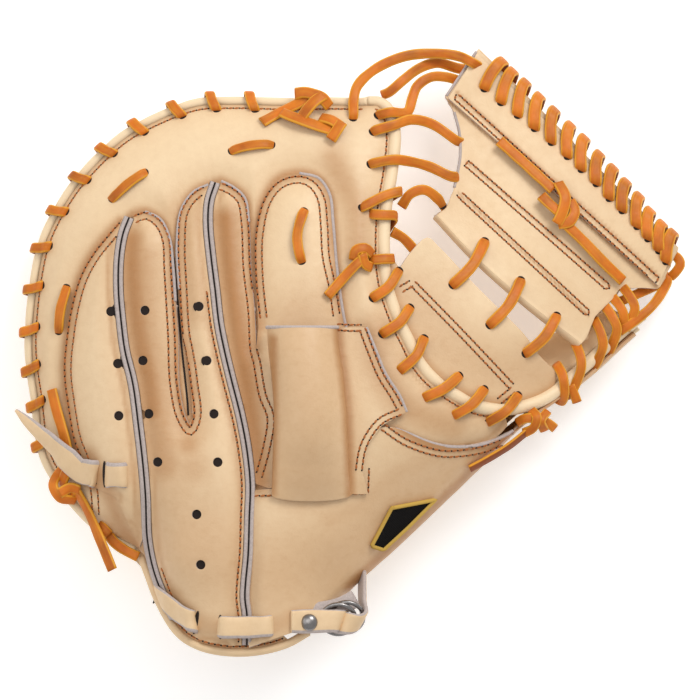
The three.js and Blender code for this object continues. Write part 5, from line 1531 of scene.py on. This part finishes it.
def round_roll(x, y, degrees, clearance=2.7):
    """A place on the crotch roll, turned about it from the hand side over the top to the web side."""
    share = crotch_path.nearest(x, y)
    along = unit(crotch_path.along(share) * (1, 1, 0))
    hand = np.array([along[1], -along[0], 0])
    turn = math.radians(degrees)
    radius = CROTCH_ROLL + clearance
    offset = hand * radius * math.cos(turn) + np.array([0, 0, radius * math.sin(turn)])
    return at(*(crotch_path.at(share) + offset))


def thumb_wraps():
    """One route for each turn over the thumb end of the crotch roll."""
    routes = []
    for web_x, web_y, mid_x, mid_y, side_x, side_y, roll_z in THUMB_TURNS:
        routes.append([
            at(web_x - 0.6, web_y + 0.8, roll_z - 3.4),
            at(web_x, web_y, roll_z + 1.6),
            at((web_x + mid_x) / 2 + 0.8, (web_y + mid_y) / 2, roll_z + 5.2),
            at(mid_x, mid_y, roll_z + 5.6),
            at((mid_x + side_x) / 2 + 0.8, (mid_y + side_y) / 2 - 0.4, roll_z + 3.4),
            at(side_x, side_y, roll_z - 1.6),
            at(side_x - 2.2, side_y + 1.2, roll_z - 7),
        ])
    return routes


def make_web_laces():
    lace("finger_web_lacing", "finger_web_lace", [[
        on_back(10, 108.5, BELOW), on_back(13, 110.5, ABOVE + 0.4), round_roll(22, 113, 90),
        at(31, 116, 47), at(41, 114, 43), on_web(53, 106, ABOVE + 0.8), on_web(58.5, 102.6, -8.4),
        on_web(58, 91, -8.6), on_web(51.5, 87.5, ABOVE + 0.8), at(40, 92.5, 48), at(30, 95, 53),
        round_roll(22, 96, 90), on_back(12, 94, ABOVE + 0.4), on_back(8, 92.5, BELOW),
    ]])
    lace("finger_side_lacing", "finger_side_lace", [[
        on_back(5, 70.5, BELOW), on_back(7.5, 72.5, ABOVE + 0.3), round_roll(18, 78, 80),
        round_roll(18.5, 81, 150, 3.9), round_roll(18, 79, 230, 2.2), on_back(11, 72, -6),
        on_back(11.5, 68.6, ABOVE), round_roll(18, 68, 90), round_roll(18, 68, 165),
        round_roll(18, 62, 245, 2.2), on_back(10.5, 50, -6), on_back(11.5, 46, ABOVE),
        round_roll(17, 46, 90), round_roll(17, 46, 150),
    ]], sides=[[0, 1, -0.22]])
    lace("web_fold_lacing", "web_fold_lace", [[
        at(26, 72.4, 55), at(30.4, 78.6, 58), at(37, 80.8, 57), at(44, 76.5, 52), on_web(49, 69, -2.8),
        on_web(56, 60.5, -3), on_web(62, 54, -3),
    ]], thick=1.6)
    lace("web_base_lacing", "web_base_tie", [[
        round_roll(17.5, 60, 200, 1.5), at(27, 56.5, 58), at(33, 50, 56), at(39, 43, 53.5),
    ]])
    lace("web_corner_loop", "web_corner_lace", [[
        on_back(1, 114, BELOW), on_back(2, 118, ABOVE), at(2, 125.5, 45.5), at(4, 133, 43),
        at(13, 141.5, 40.5), at(28, 148, 37.5), at(44, 149.4, 34), at(55, 148, 31.6),
        on_web(62, 144.6, BAND_LIFT + ABOVE + 0.4), on_web(65.5, 142, -5), at(56, 142, 22.5),
        at(44, 144.8, 28), at(35, 142, 34), at(27, 136, 40), at(20, 130, 41.5), at(16.5, 128.6, 38),
    ]])
    lace("web_corner_short", "web_corner_tie", [[
        on_back(13.5, 117.5, BELOW), on_back(15, 118.4, ABOVE), round_roll(20, 119.5, 90, 3.5),
        at(29, 120, 44), at(31.5, 127, 40), at(34, 133, 37), at(41, 137.6, 33), at(49, 137.6, 29.5),
        on_web(57.5, 135, -5.2),
    ]])
    end = [at(110.4, -17, 42), at(112.4, -21, 40.4), at(114, -25.4, 38.6)]
    lace("thumb_lacing", "thumb_web_lace", thumb_wraps() + [end], width=5.0)
    lace("web_tip_lacing", "web_tip_lace", [
        [on_web(156, 40, -5.6), at(159.6, 36.6, 19), at(157, 30, 25), at(150.6, 21.6, 33.6),
         at(142, 14.6, 35.6), at(135.4, 10, 34.4)],
        [at(155, 33.4, 17), at(147, 30, 23), at(138, 26, 28), at(133, 24, 30)],
        [at(158, 48.6, 17.6), at(164, 47.8, 20), at(166.2, 44, 21.4), at(164, 40, 20.6),
         at(161.4, 37.4, 18.4)],
    ], width=5.0)


def over(x, y, rise=0.0):
    """A place of a knot on the finger back."""
    return on_back(x, y, KNOT + rise)


def over_band(x, y, rise=0.0):
    """A place of a knot on the web's top band."""
    return on_web(x, y, BAND_LIFT + KNOT + rise)


def make_knots():
    lace("top_knot_lacing", "top_knot", [
        [over(-43.7, 114.7), over(-34.7, 119.7), over(-26, 124, 3.4), at(-21, 127.4, 47)],
        [at(-27, 129, 45.5), at(-22, 129.6, 48.6), at(-14, 127, 50), over(-10, 122.5, 3)],
        [at(-13, 128.4, 49.8), at(-18, 124.6, 52), at(-22.6, 119, 52.4), over(-24.6, 115.6, 1)],
        [over(-34, 119.6, 3.6), over(-25, 116, 3.8), over(-16, 112.8, 1.8), over(-9, 110.8, 1)],
        [over(-14.4, 117, 2.6), over(-9, 115.6, 3.8), over(-4.4, 112.6, 2.6)],
        [over(-3.8, 114.4, 4.4), over(-6.4, 110.4, 3.8), over(-9.4, 105.8, 0.8)],
    ], height=back_height, width=6)
    lace("index_knot_lacing", "index_knot", [
        [over(2, 45.5), over(3.2, 50.4, 1.6), over(8, 51.4, 2), over(11.4, 48.4, 1.2)],
        [over(11, 42, 0.4), over(8, 43.4, 1.6), over(6.4, 48.6, 3)],
        [over(8, 47.5, 2.4), over(3, 43, 2.2), over(-4, 35.5, 2.8), over(-11, 27.5, 2.6)],
    ], height=back_height)
    lace("web_knot_lacing", "web_knot", [
        [over_band(75, 105.6), over_band(89, 93), over_band(102, 81, 0.8)],
        [over_band(96, 78, 0.4), over_band(100, 74, 2), over_band(104.6, 70, 2.6)],
        [over_band(110.4, 75.6, 0.8), over_band(112.8, 70.4, 2.2), over_band(110, 65, 2.4),
         over_band(104.4, 63.8, 1)],
        [over_band(104.6, 84.6, 2), over_band(108, 77, 4.8), over_band(105.4, 67, 3.4),
         over_band(103.6, 64, 2)],
        [over_band(106, 66, 0.4), over_band(117.6, 54.8), over_band(127, 45), over_band(137, 35.4, -1.2)],
    ], height=web_height, width=5.6)
    lace("wrist_knot_lacing", "wrist_knot", [
        [over(-149, -19), over(-146.6, -29), over(-143, -41), over(-141, -50), over(-141, -57, 0.4),
         over(-145.6, -61, 1.4), at(-148.2, -67, 51), at(-144.6, -73, 52), over(-137, -74.4, 0.6)],
        [over(-140.6, -58, 1.8), over(-143, -66, 3.2), over(-138, -72.6, 2.4)],
        [at(-145, -71, 53.6), over(-139.4, -68, 4), over(-134.6, -69.4, 1.6)],
        [over(-136.4, -69.4, 2), over(-131, -79.6, 0.4), at(-124.6, -94, 57), at(-118.4, -109, 60)],
    ], height=back_height, width=5.6)
    lace("thumb_knot_lacing", "thumb_knot", [
        [at(84, -35.6, 50), at(88, -33.4, 54.6), at(94, -33.6, 55), at(99.6, -36, 51.4),
         at(102.6, -38.4, 49)],
        [at(91, -29.4, 53), at(93.6, -33, 57), at(92, -38, 55), at(87.6, -40.6, 51)],
        [at(99, -30, 52), at(95.6, -34.6, 56.6), at(97.4, -39.4, 52)],
        [at(90, -39, 51), at(80, -47, 52), at(70, -53.2, 53), at(60, -58.6, 54)],
    ], own_sides={3: [[-0.35, 0.5, 0.8]]}, width=4.8)


TIES = [
    ("finger_tie_ring", 0, [[-62, 98.2], [-57, 101], [-49, 103], [-41, 103.5], [-35, 102]]),
    ("finger_tie_little", 0, [[-122, 73], [-117, 78], [-110.5, 84], [-104, 88.5], [-99, 91]]),
    ("finger_tie_side", 0, [[-141, 35], [-142, 30], [-144.5, 21], [-145.4, 12], [-145.4, 7]]),
    ("finger_tie_index", OVERLAY_LIFT, [[-20.5, 73], [-23.5, 68], [-26, 57.5], [-24.5, 47], [-22, 41.5]]),
]


def make_ties():
    lifts = (-3.2, ABOVE, ABOVE + 1.2, ABOVE, -3.2)
    for name, lift, route in TIES:
        points = [on_back(x, y, rise + lift) for (x, y), rise in zip(route, lifts)]
        lace(name + "_lacing", name, [points], height=back_height)


# Straps and fittings
STRAP_THICK = 2.2
STRAP_ABOVE = OVERLAY_LIFT + LEATHER + 1.9 + STRAP_THICK / 2
STRAP_BELOW = -STRAP_THICK / 2 - 1.5
RINGS = [[-5.6, -133.2, 81], [-1.6, -132.2, 79.4]]
RING_RADIUS = 8.5
RING_WIRE = 1.15
RING_TILT = math.radians(28)
SNAP_PLACE = (-20, -134.6, 85.9)
SNAP_PROFILE = [
    (0, 2.3), (1.2, 2.2), (2.3, 1.9), (3.2, 1.4), (3.9, 0.8), (4.15, 0.4), (4.15, 0.02), (0, 0.02),
]
PATCH_OUTLINE = [[21, -78], [43, -74], [29, -88], [17, -99], [11, -97]]


def strap_run(rows):
    """Places of a strap over the back: x, y, lift and, where it isn't full, the share of the width."""
    return [at(*place(back_height, x, y, lift), *share) for x, y, lift, *share in rows]


def strap(name, node, points, **look):
    """A leather strap with raw edges."""
    bm = strip(points, thick=STRAP_THICK, **look)
    colour_round(bm, lambda share: not 0.2 < share < 0.47)
    finish_piece(name, bm, ["tan", "suede"], [node])


# Slits for the straps, each marked by a dark patch of painted shadow: x, y, the way through x, y, half of the
# length
STRAP_SLITS = [
    [-95.2, -121.8, 0.8, -0.6, 6.2], [-76.4, -134.8, 1, -0.2, 6.4], [-64.2, -136.9, 1, 0, 6.4],
    [-38.4, -136, 1, 0.1, 6.4], [-122.2, -61.2, 1, 0, 7.2],
]


def make_straps():
    strap("wrist_band", "wrist_strap", strap_run([
        (-96.5, -120.5, -2.4), (-93.4, -123.4, STRAP_ABOVE), (-85.5, -130, STRAP_ABOVE),
        (-78.5, -134, STRAP_ABOVE), (-74.5, -135.4, STRAP_BELOW), (-67, -136.6, STRAP_BELOW),
        (-62.4, -137, STRAP_ABOVE), (-51, -137, STRAP_ABOVE + 0.6), (-40.4, -136.4, STRAP_ABOVE),
        (-36, -135.5, STRAP_BELOW), (-31, -134.5, STRAP_BELOW),
    ]), width=11, sides=flat_sides(
        [(-0.3, 0.95), (-0.3, 0.95), (-0.26, 0.96), (-0.2, 0.98), (-0.1, 0.99), (0, 1)]))
    strap("pull_tab", "pull_strap", strap_run([
        (-104, -61, STRAP_BELOW), (-109.6, -61.4, STRAP_BELOW), (-112.6, -61.6, STRAP_ABOVE - 0.8),
        (-119, -61.4, STRAP_ABOVE), (-122.4, -61.2, STRAP_BELOW, 1.15), (-125, -61, STRAP_BELOW, 1.15),
        (-128, -60.6, STRAP_ABOVE, 1.15), (-134.6, -59.4, STRAP_ABOVE + 1.6, 1.1),
        (-141, -53.6, STRAP_ABOVE + 4.4),
    ]) + [
        at(-148, -46.6, 57, 0.86), at(-156, -39.6, 52, 0.62), at(-162.6, -33.6, 47, 0.36),
        at(-166.6, -29.6, 43.4, 0.14),
    ], width=12.6, height=back_height)
    strap("ring_tab_strap", "ring_tab", strap_run([
        (-29, -134.2, STRAP_ABOVE + 0.4), (-22, -134.2, STRAP_ABOVE + 0.4),
    ]) + [
        at(-13, -134, 85.4), at(-5.8, -134, 85), at(-3.4, -134, 80.4), at(-6, -134, 75.6), at(-10, -134, 75),
    ], width=11.8, sides=flat_sides([(0, 1), (0.03, 1), (0.2, 1), (0.4, 1)]))
    lining = [at(-27, -130.6, 81.6), at(-14, -128.8, 81), at(-4, -126.4, 79), at(3, -123, 75)]
    bm = strip(lining, width=9, thick=1.6, sides=[[-0.1, 1, -0.3]])
    finish_piece("ring_tab_lining", bm, ["suede"])
    strap("thumb_side_strap", "thumb_strap", [
        at(-8, -135, 75.6), at(-4, -135, 80.6), at(-2, -135.2, 84), at(4.4, -134.8, 83.4), at(7, -131.6, 79),
        at(6.6, -125, 72.6), at(6.4, -119, 67), at(6.4, -112.5, 61),
    ], width=11, sides=[
        [0.3, 1, 0], [0.3, 1, 0], [0.25, 1, 0], [0.2, 0.8, 0.6], [0.2, 0.2, 1], [0.2, 0, 1]])
    # Dark patches of painted shadow where the straps go into their slits
    slits = bmesh.new()
    for x, y, way_x, way_y, half in STRAP_SLITS:
        add_ball(slits, frame_on(back_top, x, y, 0.05, (way_x, way_y)), (1.3, half, 0.3), 18, 6)
    finish_piece("strap_slit_shadows", slits, ["hole"])


def make_fittings():
    upright = Matrix.Rotation(math.pi / 2, 4, "X")
    for name, middle in zip(("strap_ring_inner", "strap_ring_outer"), RINGS):
        bm = bmesh.new()
        bmesh.ops.create_circle(
            bm, segments=14, radius=RING_WIRE, matrix=Matrix.Translation((RING_RADIUS, 0, 0)) @ upright)
        spin_round(bm, 56)
        bmesh.ops.rotate(bm, verts=bm.verts[:], matrix=Matrix.Rotation(RING_TILT, 3, "X"))
        bmesh.ops.translate(bm, verts=bm.verts[:], vec=middle)
        finish_piece(name + "_wire", bm, ["nickel"], [name])
    bm = bmesh.new()
    verts = [bm.verts.new((x, 0, z)) for x, z in SNAP_PROFILE]
    for pair in zip(verts, verts[1:]):
        bm.edges.new(pair)
    spin_round(bm, 40)
    bmesh.ops.translate(bm, verts=bm.verts[:], vec=SNAP_PLACE)
    finish_piece("snap_button", bm, ["nickel"], ["snap_cap"])


def make_patch():
    outline = np.array(PATCH_OUTLINE, float)

    def height(x, y):
        return back_height(x, y) + THUMB_LIFT + LEATHER + 1.6

    bm = flat_sheet(outline, 1.5)
    drape(bm, height)
    lay_map(bm, lambda vert: vert.co[:2])
    finish_piece(
        "wrist_patch", bm, ["patch", "border"], ["label_patch"], wall=1.4, round_edge=0.3)
    ring = np.vstack([edge[:-1] for edge in along_edges(outline, 24)])
    ring = np.vstack([ring, ring[:2]])
    border = Path(np.column_stack([ring, height(*ring.T)]), per=3)
    finish_piece("wrist_patch_border", tube(border, 1.0, step=1.0, sides=10), ["border"])


# Stitching: lines in plan, measured in half millimetres from the left and the top of the picture's frame
def spots(*pairs):
    return np.array([((u - 349.5) / 2, (351.5 - v) / 2) for u, v in pairs])


STALL_STITCHES = [
    spots(
        (126, 221), (112, 237), (96, 257), (84, 279), (76, 306), (71, 335), (68, 372), (72, 406),
        (78, 439), (85, 457), (94, 488), (96, 520),
    ),
    spots(
        (134, 220), (146, 216), (158, 223), (166, 239), (168, 268), (170, 301), (172, 335), (174, 383),
        (181, 417), (191, 431), (198, 417), (195, 383), (191, 355), (187, 335), (184, 290), (182, 245),
        (185, 212), (196, 196), (208, 189),
    ),
    spots(
        (220, 186), (232, 192), (241, 201), (245, 223), (247, 268), (252, 312), (254, 350), (257, 361),
        (263, 395), (271, 417), (267, 447), (259, 477),
    ),
    spots(
        (264, 319), (260, 279), (260, 234), (268, 201), (281, 185), (299, 180), (312, 185), (321, 199),
        (324, 223), (326, 257), (333, 290), (337, 319),
    ),
]
LINING_STITCHES = [spots((382, 426), (406, 442), (439, 453), (462, 453), (484, 449), (506, 441))]
FLAP_STITCHES = [
    spots((336, 327), (350, 328), (362, 328)),
    spots((362, 328), (371, 352), (381, 376), (394, 397), (401, 411)),
    spots((401, 411), (380, 421), (364, 444), (358, 474)),
]
BAND_STITCHES = [spots((456, 95.5), (658, 280))]
WEB_STITCHES = [
    spots((467, 163), (609, 287.5)),
    spots((459.5, 194), (588.5, 313.5)),
]
BASE_STITCHES = [
    spots((400, 290), (412, 283)),
    spots((412, 283), (460, 332), (514, 389)),
    spots((514, 389), (499, 401)),
]
COVER_STITCHES = [
    spots((254, 495), (300, 494), (368, 493)),
    spots((368, 493), (369, 468)),
]
SEAM_SPACING = 3.1
SLIT = spots((174, 258), (178, 300), (182, 345), (188, 400), (189, 415))


def turned_back(line):
    """One closed run up one side of a line and down the other."""
    there = beside(line, SEAM_SPACING / 2)
    back = beside(line, -SEAM_SPACING / 2)[::-1]
    return np.vstack([there, back, there[:1]])


def make_stitching():
    groups = (
        ("stall_stitches", STALL_STITCHES, back_top, 3.3),
        ("lining_stitches", LINING_STITCHES, thumb_top, 3.0),
        ("flap_stitches", FLAP_STITCHES, flap_top, 3.0),
        ("cover_stitches", COVER_STITCHES, thumb_top, 0),
        ("band_stitches", [turned_back(line) for line in BAND_STITCHES], web_top, 0),
        ("web_stitches", [turned_back(line) for line in WEB_STITCHES], web_top, 0),
        ("base_stitches", BASE_STITCHES, base_top, SEAM_SPACING),
        ("seam_stitches", [beside(SEAM_LITTLE[11:14], 4.2), beside(SEAM_MIDDLE[4:], -4.2)], back_top, 0),
        ("rim_stitches", [beside(FINGER_RIM[:17], RIM_ROLL + 1.3)], back_top, 0),
        ("roll_stitches", [beside(CROTCH_RIM[1:17], -(CROTCH_ROLL + 0.9))], back_top, 0),
        ("binding_stitches", [beside(HEEL_EDGE[1:10], BINDING_ROLL + 1.0)], back_top, 0),
    )
    for name, lines, surface, doubled in groups:
        threads, holes = stitch_parts(lines, surface, doubled)
        finish_piece(name, threads, ["thread"])
        finish_piece(name + "_holes", holes, ["hole"])


def cord_on(surface, rows, radius, lift):
    """A thin round line laid on a surface along a run in plan."""
    plan = run_of(rows, 1.0)
    levels = surface(plan[:, 0], plan[:, 1]) + lift
    return tube(Path(np.column_stack([plan, levels]), per=2), radius, step=0.9, sides=8)


def make_bare_edges():
    """The pale cut edges that show along the panels, and a dark line of painted shade in the slit between two
    stalls.
    """
    edges = (
        (stall_top, RING_TIP[1:6], -0.5),
        (stall_top, MIDDLE_TIP[4:9], -0.5),
        (stall_top, INDEX_STALL[5:12], -0.5),
        (stall_top, INDEX_EDGE[:4], -0.5),
        (flap_top, [[8.4, 12], [12.9, 1], [17.9, -11], [24.9, -22], [28.4, -30]], -0.5),
        (web_top, [[63.6, 150.4], [48.6, 128]], -0.4),
        (web_top, [[52.5, 120], [55, 110], [55.5, 98], [52.5, 82]], -0.4),
    )
    parts = [cord_on(surface, rows, 0.8, lift) for surface, rows, lift in edges]
    arc = thumb_rows(*THUMB_GRID)[70:115, 0] - (0, 0, 0.9)
    arc = np.array([arc[max(0, i - 4):i + 5].mean(0) for i in range(3, len(arc), 2)])
    parts.append(tube(Path(arc, per=4), 0.85, step=0.9, sides=8))
    mouth = np.array([hood_point(HOOD_SECTIONS[0], t) for t in spread(0.02, 1, 24)])
    mouth[:, 2] += flap_top(mouth[:, 0], mouth[:, 1]) - 0.9
    parts.append(tube(Path(mouth, per=3), 0.95, step=1.0, sides=8))
    finish_piece("cut_edges", gather(*parts), ["suede"])
    finish_piece("stall_slit_shade", cord_on(back_top, SLIT, 0.5, 0.1), ["hole"])


# Stage
LIGHTS = [
    ("key_light", 21, 1.0, (0.8, 1.3, 1.45)),
    ("fill_light", 7, 2.0, (-1.5, 0.3, 1.5)),
    ("top_light", 8, 1.6, (-0.3, 0.4, 2.2)),
]
LIGHT_AIM = Vector((0, 0, 0.04))
ROOM_LIGHT = 0.55


def add_light(name, energy, size, spot):
    data = bpy.data.lights.new(name, "AREA")
    data.energy = energy
    data.shape = "DISK"
    data.size = size
    lamp = add_object(name, data)
    lamp.location = spot
    lamp.rotation_euler = (LIGHT_AIM - Vector(spot)).to_track_quat("-Z", "Y").to_euler()


def make_floor(settings):
    bm = bmesh.new()
    bmesh.ops.create_grid(bm, x_segments=1, y_segments=1, size=4)
    mesh = bpy.data.meshes.new("floor")
    bm.to_mesh(mesh)
    bm.free()
    look, tree, shader, _, _ = start_material("floor", 0.9)
    feed(tree, shader, {
        "Base Color": (*settings.floor, 1), "Specular IOR Level": 0.1, "Emission Color": (1, 1, 1, 1),
        "Emission Strength": settings.glow})
    mesh.materials.append(look)
    floor = add_object("floor", mesh)
    floor.location.z = -0.0002


def make_camera(settings):
    data = bpy.data.cameras.new("camera")
    data.sensor_width = 36
    data.lens = 36 * settings.distance / settings.field
    data.clip_end = 40
    camera = add_object("camera", data)
    camera.location = (0.00025, 0.00075, settings.distance + 0.05)
    bpy.context.scene.camera = camera


def make_stage():
    settings = bpy.context.scene.mitt_stage
    make_floor(settings)
    for light in LIGHTS:
        add_light(*light)
    world = bpy.data.worlds.new("studio")
    world.use_nodes = True
    background = world.node_tree.nodes["Background"]
    feed(world.node_tree, background, {"Color": (1, 1, 1, 1), "Strength": ROOM_LIGHT})
    bpy.context.scene.world = world
    bpy.context.scene.view_settings.view_transform = "Standard"
    make_camera(settings)


class MITT_OT_stage(bpy.types.Operator):
    """Makes the floor, the lights, the camera and the finishes"""
    bl_idname = "mitt.stage"
    bl_label = "Stage"

    def execute(self, context):
        make_looks()
        make_stage()
        return {"FINISHED"}


class MITT_OT_palm(bpy.types.Operator):
    """Makes the padded palm"""
    bl_idname = "mitt.palm"
    bl_label = "Palm"

    def execute(self, context):
        make_palm()
        return {"FINISHED"}


class MITT_OT_back(bpy.types.Operator):
    """Makes the leather of the finger back"""
    bl_idname = "mitt.back"
    bl_label = "Finger back"

    def execute(self, context):
        make_back()
        return {"FINISHED"}


class MITT_OT_stalls(bpy.types.Operator):
    """Makes the stall panels, the crotch lining and the dark discs of painted shade in the cooling holes"""
    bl_idname = "mitt.stalls"
    bl_label = "Stall panels"

    def execute(self, context):
        make_stalls()
        make_vents()
        return {"FINISHED"}


class MITT_OT_welts(bpy.types.Operator):
    """Makes the welted seams with their bare edges"""
    bl_idname = "mitt.welts"
    bl_label = "Seam welts"

    def execute(self, context):
        make_welts()
        return {"FINISHED"}


class MITT_OT_thumb(bpy.types.Operator):
    """Makes the leather over the back of the hand and the thumb"""
    bl_idname = "mitt.thumb"
    bl_label = "Thumb"

    def execute(self, context):
        make_thumb()
        return {"FINISHED"}


class MITT_OT_hood(bpy.types.Operator):
    """Makes the cover that the index finger lies under"""
    bl_idname = "mitt.hood"
    bl_label = "Index cover"

    def execute(self, context):
        make_hood()
        return {"FINISHED"}


class MITT_OT_rolls(bpy.types.Operator):
    """Makes the rolled edges and the wrist binding"""
    bl_idname = "mitt.rolls"
    bl_label = "Rolled edges"

    def execute(self, context):
        make_rolls()
        return {"FINISHED"}


class MITT_OT_web(bpy.types.Operator):
    """Makes the folded web, its top band and its base"""
    bl_idname = "mitt.web"
    bl_label = "Web"

    def execute(self, context):
        make_web_sheet()
        make_web_band()
        make_web_base()
        return {"FINISHED"}


class MITT_OT_laces(bpy.types.Operator):
    """Makes the whip laces, the web's laces, the knots and the short ties"""
    bl_idname = "mitt.laces"
    bl_label = "Laces"

    def execute(self, context):
        make_whip_laces()
        make_web_laces()
        make_knots()
        make_ties()
        make_lace_hole_shadows()
        return {"FINISHED"}


class MITT_OT_straps(bpy.types.Operator):
    """Makes the straps, the rings, the snap and the plain patch"""
    bl_idname = "mitt.straps"
    bl_label = "Straps and fittings"

    def execute(self, context):
        make_straps()
        make_fittings()
        make_patch()
        return {"FINISHED"}


class MITT_OT_stitching(bpy.types.Operator):
    """Makes the stitches and the painted shade at their needle holes"""
    bl_idname = "mitt.stitching"
    bl_label = "Stitching"

    def execute(self, context):
        make_stitching()
        make_bare_edges()
        return {"FINISHED"}


OPERATORS = (
    MITT_OT_stage, MITT_OT_palm, MITT_OT_back, MITT_OT_stalls, MITT_OT_welts, MITT_OT_thumb, MITT_OT_hood,
    MITT_OT_rolls, MITT_OT_web, MITT_OT_laces, MITT_OT_straps, MITT_OT_stitching,
)


class MITT_PT_panel(bpy.types.Panel):
    """Sizes, colours and pieces of the mitt"""
    bl_idname = "MITT_PT_panel"
    bl_label = "Catcher mitt"
    bl_space_type = "VIEW_3D"
    bl_region_type = "UI"
    bl_category = "Mitt"

    def draw(self, context):
        for group in (context.scene.mitt_sizes, context.scene.mitt_colours, context.scene.mitt_stage):
            for name in group.__annotations__:
                self.layout.prop(group, name)
        for operator in OPERATORS:
            self.layout.operator(operator.bl_idname)


GROUPS = {"mitt_sizes": MittSizes, "mitt_colours": MittColours, "mitt_stage": MittStage}


def register():
    for name, group in GROUPS.items():
        bpy.utils.register_class(group)
        setattr(bpy.types.Scene, name, bpy.props.PointerProperty(type=group))
    for kind in OPERATORS + (MITT_PT_panel,):
        bpy.utils.register_class(kind)


def unregister():
    for kind in reversed(OPERATORS + (MITT_PT_panel,)):
        bpy.utils.unregister_class(kind)
    for name, group in GROUPS.items():
        delattr(bpy.types.Scene, name)
        bpy.utils.unregister_class(group)


def main():
    register()
    for operator in OPERATORS:
        group, name = operator.bl_idname.split(".")
        getattr(getattr(bpy.ops, group), name)()
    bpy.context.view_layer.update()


if __name__ == "__main__":
    main()
